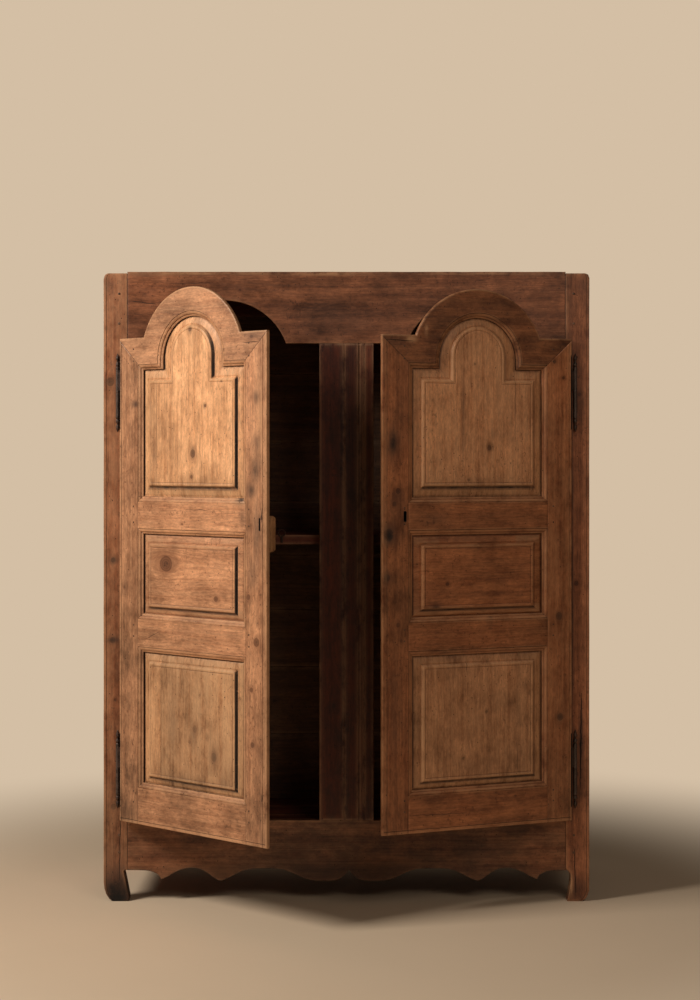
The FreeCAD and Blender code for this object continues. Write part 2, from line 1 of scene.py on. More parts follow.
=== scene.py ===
import bpy
import math
import numpy as np
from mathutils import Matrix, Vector

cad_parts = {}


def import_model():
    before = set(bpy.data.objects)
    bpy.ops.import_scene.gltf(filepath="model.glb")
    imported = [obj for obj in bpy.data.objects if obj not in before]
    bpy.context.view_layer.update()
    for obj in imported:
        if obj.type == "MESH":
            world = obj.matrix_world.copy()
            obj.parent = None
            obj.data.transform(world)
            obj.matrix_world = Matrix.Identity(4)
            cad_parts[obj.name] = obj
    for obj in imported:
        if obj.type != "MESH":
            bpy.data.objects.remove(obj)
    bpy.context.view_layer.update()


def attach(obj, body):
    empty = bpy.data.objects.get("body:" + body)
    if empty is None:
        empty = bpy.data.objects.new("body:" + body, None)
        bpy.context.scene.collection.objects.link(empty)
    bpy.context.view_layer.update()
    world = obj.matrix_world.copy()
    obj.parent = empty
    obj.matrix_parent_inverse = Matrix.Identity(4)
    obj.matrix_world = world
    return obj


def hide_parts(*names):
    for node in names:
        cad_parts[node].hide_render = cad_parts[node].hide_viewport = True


# Two-door panelled armoire in old pine, both doors ajar. Lengths are millimetres with X to the right,
# Y to the back and Z up; a finished piece is in metres.

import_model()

# ---- sizes of the cabinet ----
FRONT_Y = -23.0008  # front face of the frame
HALF, INNER, SIDE_IN, POST_IN = 772.0, 696.0, 744.0, 702.0
BACK_IN, BACK_REBATE, DEPTH = 455.0, 484.0, 500.0
SILL_Z, HEAD_Z, POST_Z, TOP_Z = 257.0, 1772.0, 1995.0, 2000.0
STILE_W, STILE_T, RAIL_T = 76.0, 50.0, 32.0
ARCH_Z, CUT_R = 1704.0, 204.0
APRON_MIDDLE = 8.0
FLOOR_Z, SHELF_Z, ROOF_Z = 222.0, 1131.0, 1975.0  # undersides of the boards
SIDE_FRONT, SIDE_BACK = 50.2, 454.8  # reach of the side rails
BACK_JOINTS = [232.0, 462.0, 692.0, 888.0, 1075.0, 1259.0, 1462.0, 1695.0, 1988.0]

# ---- sizes of a door: u from its hinge edge, n back from its face ----
DOOR_W, DOOR_EDGE, DOOR_Z0, DOOR_TOP = 653.0, 711.0, 260.0, 1785.0
ARCH_R, BACK_ARCH_R = 228.0, 200.0
LIP_T, DOOR_T = 13.0, 30.0
REBATE_HINGE, REBATE_LOCK, REBATE_TOP = 18.0, 31.5, 16.0
SIGHT_U, JOINT_U, MOULD_W, FILLET = 104.0, 87.0, 17.0, 3.5
LOWER, MIDDLE, UPPER = (392.0, 801.0), (921.0, 1171.0), (1288.0, 1684.0)
NECK, NECK_Z = 132.0, 1710.0
MID_U = DOOR_W / 2
SIGHT_HALF = MID_U - SIGHT_U
MITRE = (DOOR_TOP - 5.0 - UPPER[1] - MOULD_W) / JOINT_U
HINGE_X, HINGE_Y, HINGE_Z = 726.0, -6.5, (421.0, 1615.0)
QUIRK_HINGE, QUIRK_LOCK, QUIRK_LOW = 10.0, 16.0, 11.0  # scratched lines: distance from the edge
QUIRK_DEEP = 1.4
JOINT_DEEP = .45  # how far the faces sink at a joint
OPEN = {-1: 41.5, 1: 22.5}
WORD = {-1: "left", 1: "right"}

# The moulding round each opening: depth n at distance d from the sight edge, with wear and dirt. The paler
# bands on the beads and fillets are partly painted highlight, the dark quirks and sight edge partly painted shade.
MOULD_D = np.array([0, 0.7, 1.2, 3.0, 5.0, 5.9, 6.4, 6.8, 7.2, 8.4, 10.0, 12.0, 14.0, 15.1, 15.5, 16.5, 17.0])
MOULD_N = np.array([10.0, 9.5, 8.7, 7.8, 7.0, 6.7, 6.4, 4.9, 4.2, 3.2, 2.3, 1.55, 1.2, 1.1, 2.0, 2.0, 0.0])
MOULD_WEAR_AND_HIGHLIGHT = np.array([0, .5, .8, .7, .6, .3, 0, 0, .2, .5, .7, .7, .6, .5, 0, 0, .8])
MOULD_GRIME_AND_SHADE = np.array([1.0, .5, 0, 0, .15, .4, .9, .8, .4, .1, 0, 0, 0, .3, 1.0, 1.0, 0])
MOULD = np.stack([MOULD_D, MOULD_N, MOULD_WEAR_AND_HIGHLIGHT, MOULD_GRIME_AND_SHADE], 1)


# ---- small helpers for lines and outlines ----
def seed_of(name):
    """The number a board's random draws start from."""
    return sum(map(ord, name))


def wander(a, seed, amount, wave):
    """Slow unevenness along a: three sine waves of falling height, their phases drawn from seed."""
    rng = np.random.default_rng(seed)
    total = 0.0
    for k in range(3):
        rate = (1.0 + 0.83 * k) * (0.8 + 0.4 * rng.random())
        total = total + np.sin(a / wave * 2 * math.pi * rate + 2 * math.pi * rng.random()) / (1 + k)
    return amount * total / 1.83


def ease(x, low, high):
    """0 below low, 1 above high, and 3t² - 2t³ between."""
    t = np.clip((x - low) / (high - low), 0.0, 1.0)
    return t * t * (3 - 2 * t)


def stops(a, b, step, *extra):
    """Stations from a to b about a step apart, with the extra ones put in."""
    even = np.linspace(a, b, max(2, int(round((b - a) / step)) + 1))
    extra = np.concatenate([np.atleast_1d(e) for e in extra]) if extra else np.zeros(0)
    extra = extra[(extra >= a) & (extra <= b)]
    if len(extra):
        even = even[np.abs(even[:, None] - extra).min(1) > 0.3 * step]
    return np.unique(np.concatenate([[a, b], even, extra]))


def eased_ends(a, b, step, ends):
    """Stations from a to b, close together at both ends, and how far a board draws in at each."""
    at = np.concatenate([[a, a + .3 * ends], stops(a + ends, b - ends, step), [b - .3 * ends, b]])
    draw = np.zeros(len(at))
    draw[[0, -1]], draw[[1, -2]] = ends, .29 * ends
    return at, draw


def oblong(a0, a1, b0, b1):
    """Corners of a rectangle, from (a0, b0) along a first."""
    return [(a0, b0), (a1, b0), (a1, b1), (a0, b1)]


def section(corners, radius=2.0, step=6.0):
    """Closed outline: at each corner a curved arris (a quadratic arc pulled to the corner), sides
    divided evenly. Gives points (k, 2) and wear (k), which is 1 on an outward arris, fading in 5 mm."""
    c = np.asarray(corners, float)
    r = np.broadcast_to(np.asarray(radius, float), len(c))[:, None]
    back, on = np.roll(c, 1, 0) - c, np.roll(c, -1, 0) - c
    turn = back[:, 1] * on[:, 0] - back[:, 0] * on[:, 1]
    start = c + back / np.linalg.norm(back, axis=1)[:, None] * r
    end = c + on / np.linalg.norm(on, axis=1)[:, None] * r
    t = np.linspace(0, 1, 5)[:, None]
    parts = []
    for i in range(len(c)):
        rounded = (1 - t) ** 2 * start[i] + 2 * t * (1 - t) * c[i] + t ** 2 * end[i]
        parts.append(rounded if r[i] > 0 else c[i:i + 1])
        side = start[(i + 1) % len(c)] - end[i]
        n = max(1, int(round(np.linalg.norm(side) / step)))
        parts.append(end[i] + np.linspace(0, 1, n + 1)[1:-1, None] * side)
    pts = np.concatenate(parts)
    outward = turn * np.sign(np.sum(c[:, 0] * np.roll(c[:, 1], -1) - c[:, 1] * np.roll(c[:, 0], -1))) > 0
    gap = np.linalg.norm(pts[:, None] - c[None], axis=2) + np.where(outward, 0, 1e3)[None]
    return pts, np.exp(-gap.min(1) / 5.0)


def outward_normals(pts):
    """Unit normals of a closed outline, square to the line from the point before to the point after."""
    t = np.roll(pts, -1, 0) - np.roll(pts, 1, 0)
    t = t / np.maximum(np.linalg.norm(t, axis=1), 1e-9)[:, None]
    area = np.sum(pts[:, 0] * np.roll(pts[:, 1], -1) - pts[:, 1] * np.roll(pts[:, 0], -1))
    return np.stack([t[:, 1], -t[:, 0]], 1) * np.sign(area)


# ---- what the years have left on each board, and painted light and shade: distances along and across it ----
# knots (along, across, radius), stains (along, across, reach along, reach across, strength; a few of them are painted
# shadows), scars (rubbed or dry spots, as stains), cracks (from, to, across, lean, width), shades (as stains, but
# only lighter or darker, matched to the measured brightness along the boards: partly the wood's own tone, partly
# painted light and shade), joints (across, tone and bleach of the strip before it), tone (lighter or darker all over)
# and bleach (grey and dry).
BOARDS = {
    # On both doors the shades make the stiles lighter towards the top and darker towards the bottom, a painted fall
    # of the light down the door; the darker band along the foot of each upper and lower panel is painted shadow under
    # the field's lower edge, and darker strips along a panel's sides are painted shade beside the mouldings.
    "left_door_hinge_stile": dict(knots=[(1577, 79, 7), (1001, 24, 4), (1330, 60, 4), (610, 40, 4)],
        stains_and_shadows=[(1577, 76, 14, 22, .7), (1700, 8, 160, 10, .4), (300, 30, 60, 60, .3), (1001, 24, 26, 22, .5)],
        tone_and_painted_light=[(1516, 40, 60, 90, .5), (1060, 40, 110, 90, .55), (380, 40, 230, 90, -.8)], tone=-.8),
    "left_door_lock_stile": dict(knots=[(996, 577, 8), (865, 611, 12), (722, 590, 7), (559, 594, 8), (1232, 632, 7)],
        stains_and_shadows=[(1588, 612, 26, 20, .8), (1454, 612, 34, 20, .75), (1373, 606, 50, 24, .8), (1312, 589, 30, 24, .8),
        (1180, 610, 120, 22, .6), (560, 600, 30, 20, .4), (1060, 596, 60, 24, .6)], scars=[(1560, 630, 190, 20, .8)],
        cracks=[(392, 418, 634, 0, 1.6), (1216, 1262, 632, .06, 1.5)], tone_and_painted_light=[(1640, 600, 230, 90, .95),
        (1395, 600, 50, 90, -.8), (1040, 600, 90, 90, -.3), (690, 600, 60, 90, -.5), (340, 600, 260, 90, -.85)],
        tone=-.3),
    "left_door_arched_rail": dict(knots=[(590, 1768, 6), (565, 1722, 3)], stains_and_shadows=[(600, 1775, 60, 20, .55),
        (470, 1730, 70, 20, .3), (60, 1730, 60, 26, .25)], cracks=[(555, 618, 1752, 0, .9)],
        tone_and_painted_light=[(230, 1880, 40, 60, -.5), (400, 1870, 70, 90, .9)], tone=-.4),
    "left_door_upper_rail": dict(knots=[(290, 1206, 4), (430, 1247, 3)], stains_and_shadows=[(540, 1284, 30, 20, .9),
        (552, 1230, 16, 40, .6), (200, 1250, 90, 10, .25)], cracks=[(300, 420, 1250, .01, .7)],
        tone_and_painted_light=[(150, 1240, 90, 60, -.6), (400, 1240, 130, 60, .6)], tone=.25),
    "left_door_lower_rail": dict(knots=[(460, 905, 3)], stains_and_shadows=[(150, 870, 30, 22, .35), (470, 812, 50, 8, .5)],
        cracks=[(120, 190, 842, .4, .7)], tone_and_painted_light=[(160, 860, 90, 60, -.5), (470, 860, 110, 60, .8)], tone=.12),
    "left_door_bottom_rail": dict(knots=[(290, 330, 3), (390, 345, 3)], stains_and_shadows=[(300, 345, 40, 20, .3)],
        tone_and_painted_light=[(90, 340, 50, 60, -.7), (540, 340, 40, 60, -.6)], tone=-.35),
    "left_door_upper_panel": dict(knots=[(1567, 390, 5), (1422, 336, 12), (1351, 330, 6), (1803, 323, 8),
        (1640, 460, 4)], stains_and_shadows=[(1422, 336, 45, 16, .45), (1567, 390, 14, 12, .45), (1351, 330, 20, 14, .4),
        (1422, 162, 70, 16, .55), (1640, 480, 60, 20, .25), (1803, 323, 20, 12, .5)],
        cracks=[(1288, 1700, 172, 0, .4)], tone_and_painted_light=[(1310, 320, 45, 300, -1), (1530, 400, 120, 50, .7),
        (1500, 165, 300, 40, -.35)], joints=[(172, .75, .35)], tone=.95, bleach=.1),
    "left_door_middle_panel": dict(knots=[(215, 1081, 24), (437, 983, 9)], stains_and_shadows=[(215, 1081, 26, 26, .3),
        (300, 1000, 60, 10, .12), (420, 1080, 90, 8, .12)], tone_and_painted_light=[(180, 1030, 80, 90, -.45),
        (370, 1030, 80, 90, .4)], tone=.35),
    "left_door_lower_panel": dict(knots=[(688, 367, 5), (583, 345, 10), (506, 428, 12), (540, 322, 6)],
        stains_and_shadows=[(600, 250, 150, 30, .45), (560, 340, 60, 22, .5), (500, 430, 50, 20, .6), (420, 300, 30, 120, .45),
        (770, 300, 20, 120, .3), (430, 470, 40, 30, .5)], cracks=[(385, 808, 192, 0, .6)],
        tone_and_painted_light=[(385, 300, 70, 300, -.55), (600, 165, 300, 60, -.5)], joints=[(192, .45, .35)], tone=-.35, bleach=.7),
    "right_door_hinge_stile": dict(knots=[(909, 46, 11), (590, 43, 11), (1150, 50, 3), (1712, 62, 6), (1661, 31, 5)],
        stains_and_shadows=[(909, 46, 20, 18, .5), (590, 43, 20, 18, .5), (1380, 70, 90, 22, .25)],
        tone_and_painted_light=[(1640, 40, 110, 90, 1.7), (1214, 40, 60, 90, .5), (940, 40, 70, 90, .7), (330, 40, 170, 90, -1)],
        tone=.25, bleach=.25),
    "right_door_lock_stile": dict(knots=[(1174, 633, 17), (1308, 600, 8), (1268, 613, 7), (1044, 637, 10),
        (900, 600, 7), (851, 590, 5)], stains_and_shadows=[(1174, 630, 45, 34, .9), (1290, 606, 30, 24, .7),
        (1452, 616, 62, 26, .9), (1044, 637, 30, 20, .7), (640, 610, 260, 30, .5), (1230, 600, 60, 40, .3)],
        tone_and_painted_light=[(1643, 600, 70, 90, .7), (1357, 600, 60, 90, .8), (1000, 600, 150, 90, -1), (500, 600, 80, 90, .4),
        (200, 600, 70, 90, -.6)], tone=-.3),
    "right_door_arched_rail": dict(knots=[(560, 1752, 3)], stains_and_shadows=[(600, 1760, 60, 26, .4), (326, 1870, 200, 20, .2)],
        scars=[(556, 1772, 16, 9, 2.4), (506, 1800, 6, 16, 2)], cracks=[(545, 645, 1766, .03, 1.1)], tone=-.95),
    "right_door_upper_rail": dict(knots=[(520, 1215, 3)], stains_and_shadows=[(480, 1220, 60, 30, .5)],
        tone_and_painted_light=[(500, 1240, 70, 60, -.6)], tone=-.3),
    "right_door_lower_rail": dict(knots=[(285, 911, 5), (289, 880, 3), (420, 880, 2)],
        stains_and_shadows=[(287, 896, 18, 20, .45)], tone=-.2),
    "right_door_bottom_rail": dict(knots=[(200, 352, 4)], stains_and_shadows=[(440, 310, 120, 6, .5)],
        cracks=[(380, 560, 312, .02, .7)], tone=-.12),
    "right_door_upper_panel": dict(knots=[(1440, 290, 7), (1340, 360, 4), (1700, 340, 3)],
        stains_and_shadows=[(1330, 300, 24, 140, .35), (1600, 260, 100, 10, .4), (1440, 290, 24, 18, .35),
        (1790, 390, 60, 10, .3), (1551, 380, 150, 7, .7), (1592, 295, 50, 7, .4), (1482, 276, 34, 9, .4)],
        cracks=[(1457, 1700, 200, 0, .5)], tone_and_painted_light=[(1590, 370, 120, 120, .9), (1300, 320, 50, 300, -1.6)], tone=1.35,
        bleach=.4),
    "right_door_middle_panel": dict(knots=[(434, 1020, 6), (300, 1018, 2)], stains_and_shadows=[(473, 948, 22, 24, .8),
        (300, 985, 120, 14, .35)], tone=.25),
    "right_door_lower_panel": dict(knots=[(620, 300, 5), (480, 380, 5)], stains_and_shadows=[(640, 250, 60, 60, .3),
        (450, 350, 40, 90, .4), (600, 420, 160, 20, .25)], cracks=[(745, 783, 368, 0, .9), (420, 520, 190, .05, .5)],
        tone_and_painted_light=[(370, 320, 45, 300, -.9), (540, 530, 300, 30, -.7), (540, 165, 300, 40, -.7)], tone=.2, bleach=.3),
    # The dark stain in the middle, at 1838 high, and the two darker shades there are painted shadow of the door
    # arches.
    "front_top_rail": dict(knots=[(-338, 1942, 5), (-150, 1960, 4), (40, 1900, 5), (120, 1872, 4), (235, 1935, 4),
        (330, 1960, 3), (520, 1910, 6), (-520, 1960, 3), (600, 1935, 4), (-60, 1830, 4)],
        stains_and_shadows=[(0, 1990, 700, 9, .3), (120, 1850, 120, 30, .35), (-20, 1838, 230, 80, .5), (-450, 1905, 60, 30, .2),
        (-640, 1990, 60, 14, .5), (600, 1870, 80, 40, .35)], scars=[(-450, 1995, 260, 3, 1.8),
        (-60, 1995, 120, 3, 1.8), (430, 1995, 200, 3, 1.4)], cracks=[(-696, -600, 1908, -.12, 1.1),
        (-560, -420, 1962, .02, .6), (300, 470, 1925, 0, .5)], tone_and_painted_light=[(50, 1900, 280, 120, -.4),
        (-150, 1860, 120, 80, -.5), (-633, 1920, 50, 90, .6)], tone=-.8),
    # The darker shade left of the middle is painted shadow of the open left door.
    "front_bottom_rail": dict(knots=[(-500, 200, 6), (300, 190, 7), (60, 215, 5)], stains_and_shadows=[(0, 90, 700, 46, .75),
        (-560, 160, 120, 40, .5), (430, 150, 150, 40, .5)], tone_and_painted_light=[(-150, 170, 190, 120, -.8),
        (398, 170, 60, 120, -.6), (-620, 150, 70, 120, .6), (630, 170, 60, 120, .4)], tone=-1.25, bleach=.3),
    # The darker shade over the lower part is painted shade: the light falling off towards the floor.
    "front_left_stile": dict(knots=[(830, -743, 9), (1084, -741, 8), (1650, -750, 12), (640, -735, 5),
        (300, -740, 9)], stains_and_shadows=[(830, -743, 12, 34, .7), (1650, -768, 40, 10, .5), (1084, -741, 16, 30, .5),
        (10, -726, 140, 100, .99), (1960, -760, 40, 30, .5), (1380, -700, 20, 24, .5)],
        cracks=[(60, 330, -722, .02, 1.2), (1300, 1420, -758, 0, .6)], tone_and_painted_light=[(250, -745, 450, 90, -1.05),
        (1560, -745, 130, 90, .4)], tone=.2, bleach=.45),
    # The long dark stain along the inner edge is painted shadow in the gap beside the right door.
    "front_right_stile": dict(knots=[(1610, 740, 6), (1010, 730, 7), (500, 745, 7)], stains_and_shadows=[(30, 734, 60, 50, .8),
        (1960, 750, 50, 30, .6), (520, 745, 130, 12, .8), (1020, 714, 900, 8, 1)], scars=[(56, 710, 34, 8, 3.5)],
        cracks=[(350, 665, 742, .015, 2), (20, 180, 728, -.03, 1.3)], tone_and_painted_light=[(1880, 740, 70, 90, -.6),
        (1595, 740, 100, 90, -.4), (1180, 740, 100, 90, 1.2), (940, 740, 100, 90, .6), (595, 740, 60, 90, .6),
        (370, 740, 90, 90, -1.1)], tone=-.2),
    # Its low tone is partly painted shade, deep between the doors.
    "centre_stile": dict(knots=[(620, -40, 7), (1120, 10, 6), (1500, -50, 5)], stains_and_shadows=[(400, 0, 160, 80, .3)],
        tone=-.75),
}




def timber(name, along, across, depth, wear_and_highlight, grime_and_shade=0.0):
    """Three vectors for every point of a board: grain (along, across and depth in metres, the heart of
    the tree beside or behind the board), marks (distance to the nearest knot in knot radii, wear, which also carries
    painted highlights, and stain, which also carries painted shade) and state (tone, which also carries painted light
    and shade, bleach, distance to the nearest crack in crack widths, with its sign).
    Fibres part round a knot of radius R as water parts round a post: y moves to y - yR²/(d² + R²/3)."""
    seed = seed_of(name)
    rng = np.random.default_rng(seed)
    info = BOARDS.get(name, {})
    along, across, depth, wear_and_highlight, stain_and_shade = (
        1.0 * v for v in np.broadcast_arrays(along, across, depth, wear_and_highlight, grime_and_shade))
    knots = info.get("knots")
    if knots is None:
        n = int((along.max() - along.min()) / 300)
        knots = [(rng.uniform(along.min() + 30, along.max() - 30), rng.uniform(across.min(), across.max()),
                  rng.uniform(3, 9)) for _ in range(n)]
    near, shift, split = np.full(along.shape, 6.0), np.zeros(along.shape), np.full(along.shape, 40.0)
    for a, c, r in knots:
        x, y = (along - a) / 1.7, across - c
        shift -= y * r * r / (x * x + y * y + r * r / 3)
        near = np.minimum(near, np.sqrt(((along - a) / 1.15) ** 2 + y * y) / r)

    def spots(kind):
        """Soft round marks: strength times the bell curve of the distance in reaches."""
        return [s * np.exp(-((along - a) / ra) ** 2 - ((across - c) / rc) ** 2)
                for a, c, ra, rc, s in info.get(kind, ())]
    for spot in spots("stains_and_shadows"):
        stain_and_shade = np.maximum(stain_and_shade, spot)
    for spot in spots("scars"):
        wear_and_highlight = np.maximum(wear_and_highlight, spot)
    for a0, a1, c, lean, w in info.get("cracks", ()):
        width = w * np.sqrt(np.clip((along - a0) * (a1 - along), 0, None)) / ((a1 - a0) / 2) + 0.004
        line = across - (c + lean * (along - a0) + wander(along, seed + int(abs(c)), 1.2, 60.0))
        value = np.clip(line / width, -40, 40)
        split = np.where(np.abs(value) < np.abs(split), value, split)
    middle = (across.max() + across.min()) / 2
    heart = rng.uniform(-45, 45), rng.uniform(28, 85)
    grain = np.stack([along / 1000 + rng.uniform(-40, 40), (across - middle + shift + heart[0]) / 1000,
                      (depth + heart[1]) / 1000], -1)
    full = np.ones(along.shape)
    tone, bleach = full * info.get("tone", rng.uniform(-.25, .15)), full * info.get("bleach", 0.0)
    for line, other_tone, other_bleach in info.get("joints", ()):
        beyond = across < line
        grain[..., 0] += np.where(beyond, 7.3, 0)
        tone, bleach = np.where(beyond, other_tone, tone), np.where(beyond, other_bleach, bleach)
    # Lighter and darker patches added to the tone, some of them painted light and shade.
    for spot in spots("tone_and_painted_light"):
        tone = tone + spot
    return grain, np.stack([near, wear_and_highlight, stain_and_shade], -1), np.stack([tone, bleach, split], -1)


# ---- meshes ----
LAYERS = ("grain", "marks", "state")
SHARP = math.radians(38.0)


def skin(points, timbers=None, caps=True):
    """A grid of points (m, k, 3) in millimetres with its board data. Neighbours along both parameters
    share a four-sided face, the last column joins the first, and caps close the two end rows."""
    if timbers is None:
        plain = np.zeros(points.shape)
        timbers = points / 1000, plain + [6.0, 0, 0], plain + [0, 0, 40.0]
    return points, timbers, caps


def shell(grid, caps):
    """Faces of a grid. Joins points that fall together, turns a four-sided face that lost a corner into
    a triangle, drops one that lost more, and turns the whole so that its signed volume is positive.
    Gives the kept points' numbers and the faces."""
    m, k = grid.shape[:2]
    points = grid.reshape(-1, 3)
    i, j = np.arange(m - 1)[:, None], np.arange(k)[None]
    a, b = i * k + j, i * k + (j + 1) % k
    quads = np.stack([a, b, b + k, a + k], -1).reshape(-1, 4)
    key = np.round(points * 100 + 0.1371).astype(np.int64)
    _, first, index = np.unique(key, axis=0, return_index=True, return_inverse=True)
    index = index.reshape(-1)
    q = index[quads]
    same = q == np.roll(q, -1, 1)
    count = same.sum(1)
    whole = q[(count == 0) & (q[:, 0] != q[:, 2]) & (q[:, 1] != q[:, 3])]
    tri = np.concatenate([q[(count == 1) & same[:, c]][:, [c, (c + 2) % 4, (c + 3) % 4]] for c in range(4)])
    tri = tri[(tri[:, 0] != tri[:, 1]) & (tri[:, 1] != tri[:, 2]) & (tri[:, 0] != tri[:, 2])]
    ends = []
    for rim in (np.arange(k)[::-1], (m - 1) * k + np.arange(k)) if caps else ():
        r = index[rim]
        r = r[r != np.roll(r, 1)]
        if len(np.unique(r)) == len(r) > 2:
            ends.append(r)
    p = points[first]
    fans = [(whole[:, 0], whole[:, 1], whole[:, 2]), (whole[:, 0], whole[:, 2], whole[:, 3]), tri.T]
    fans += [(np.full(len(r) - 2, r[0]), r[1:-1], r[2:]) for r in ends]
    volume = sum(np.einsum("ij,ij->", p[a], np.cross(p[b], p[c])) for a, b, c in fans)
    faces = whole.tolist() + tri.tolist() + [r.tolist() for r in ends]
    return first, [f[::-1] for f in faces] if volume < 0 else faces


def put_in_scene(name, data):
    """A new object of that name in the scene."""
    obj = bpy.data.objects.new(name, data)
    bpy.context.scene.collection.objects.link(obj)
    return obj


def piece(name, skins, finish, body, nodes):
    """One object from its skins, in metres and at the origin, riding on a body in place of CAD nodes."""
    points, faces, data, base = [], [], [[], [], []], 0
    for p, timbers, caps in skins:
        first, found = shell(p, caps)
        points.append(p.reshape(-1, 3)[first] / 1000)
        for store, values in zip(data, timbers):
            store.append(values.reshape(-1, 3)[first])
        faces += [[v + base for v in f] for f in found]
        base += len(first)
    name = name + "_wood" if name in nodes else name
    mesh = bpy.data.meshes.new(name)
    mesh.from_pydata(np.concatenate(points), [], faces)
    for label, store in zip(LAYERS, data):
        layer = mesh.attributes.new(label, "FLOAT_VECTOR", "POINT")
        layer.data.foreach_set("vector", np.concatenate(store).astype(np.float32).ravel())
    mesh.shade_smooth()
    mesh.set_sharp_from_angle(angle=SHARP)
    mesh.materials.append(finish)
    obj = put_in_scene(name, mesh)
    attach(obj, body)
    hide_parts(*nodes)
    return obj


def world(x, y, z):
    """Cabinet coordinates with the front face of the frame at zero, moved to where it stands."""
    return np.stack(np.broadcast_arrays(x, y + FRONT_Y, z), -1)


def hang(side, u, n, z):
    """Door coordinates (u from the hinge edge, n back from the face) laid against the frame, then
    turned about the hinge by the angle at which that door stands open."""
    x, y = side * (DOOR_EDGE - u) - side * HINGE_X, n - LIP_T - HINGE_Y
    a = math.radians(OPEN[side]) * side
    return world(side * HINGE_X + x * math.cos(a) - y * math.sin(a),
                 HINGE_Y + x * math.sin(a) + y * math.cos(a), z)


def bar(axis, a, b, outline, name, step=14.0, ends=1.5, wide=1, uneven=0.5, grime_and_shade=0.0):
    """A board: a closed outline in the two other axes carried along one axis from a to b. Over the last
    millimetres it draws in along its own normals by a quarter round, and everywhere by a slow
    unevenness, so that it never grows."""
    pts, wear_and_highlight = outline
    at, draw = eased_ends(a, b, step, ends)
    draw = draw + uneven * (.5 + .5 * wander(at, seed_of(name), 1.0, 300.0))
    ring = pts[None] - outward_normals(pts)[None] * draw[:, None, None]
    along, p, q = at[:, None] + 0 * ring[..., 0], ring[..., 0], ring[..., 1]
    order = {"x": (along, p, q), "y": (p, along, q), "z": (p, q, along)}[axis]
    end_wear = np.exp(-np.minimum(at - a, b - at) / 5.0)[:, None]
    data = timber(name, along, ring[..., wide], ring[..., 1 - wide], np.maximum(wear_and_highlight[None], end_wear), grime_and_shade)
    return skin(world(*order), data)


def block(side, u0, u1, n0, n1, z0, z1, name="iron", radius=1.2, ends=1.0):
    """A small board or plate fixed behind a door, upright, with eased arrises and ends."""
    pts, wear_and_highlight = section(oblong(u0, u1, n0, n1), radius, 4)
    at, draw = eased_ends(z0, z1, 5, ends)
    ring = pts[None] - outward_normals(pts)[None] * draw[:, None, None]
    z = at[:, None] + 0 * ring[..., 0]
    rub_and_highlight = np.maximum(wear_and_highlight[None], np.exp(-np.minimum(z - z0, z1 - z) / 4))
    return skin(hang(side, ring[..., 0], ring[..., 1], z), timber(name, z, ring[..., 0], ring[..., 1], rub_and_highlight, .1))


def turned(profile, steps=24):
    """A profile of (radius, height) pairs turned about the vertical: rows by height, columns by angle."""
    r, h = np.asarray(profile, float).T
    a = np.linspace(0, 2 * math.pi, steps, endpoint=False)
    return r[:, None] * np.cos(a), r[:, None] * np.sin(a), h[:, None] + 0 * a[None]


def pin(place, profile, steps, name="", grime_and_shade=0.0):
    """A turned profile put where place(a, b, height) says, of wood when it has a name."""
    a, b, h = turned(profile, steps)
    return skin(place(a, b, h), timber(name, h, a, b, .3, grime_and_shade) if name else None, caps=False)


def carried(line, at):
    """A closed line (k, 2) repeated at every station: the line's two coordinates, then the station."""
    return np.broadcast_arrays(line[None, :, 0], line[None, :, 1], np.asarray(at)[:, None])


# ---- finishes ----
class Wire:
    """A node's output with arithmetic. + - * / on numbers add Math nodes, on vectors Vector Math nodes
    and on colours Mix nodes, whichever side the plain number stands on, except for /, which takes it only on the
    right."""
    def __init__(self, net, socket, kind="number"):
        self.net, self.socket, self.kind = net, socket, kind

    def join(self, word, a, b):
        if self.kind == "colour":
            return self.net.mix(1.0, a, b, word)
        name = {"number": "ShaderNodeMath", "vector": "ShaderNodeVectorMath"}[self.kind]
        return self.net.node(name, {"operation": word}, {0: a, 1: b}, kind=self.kind)

    def __add__(self, o): return self.join("ADD", self, o)
    def __radd__(self, o): return self.join("ADD", o, self)
    def __sub__(self, o): return self.join("SUBTRACT", self, o)
    def __rsub__(self, o): return self.join("SUBTRACT", o, self)
    def __mul__(self, o): return self.join("MULTIPLY", self, o)
    def __rmul__(self, o): return self.join("MULTIPLY", o, self)
    def __truediv__(self, o): return self.join("DIVIDE", self, o)


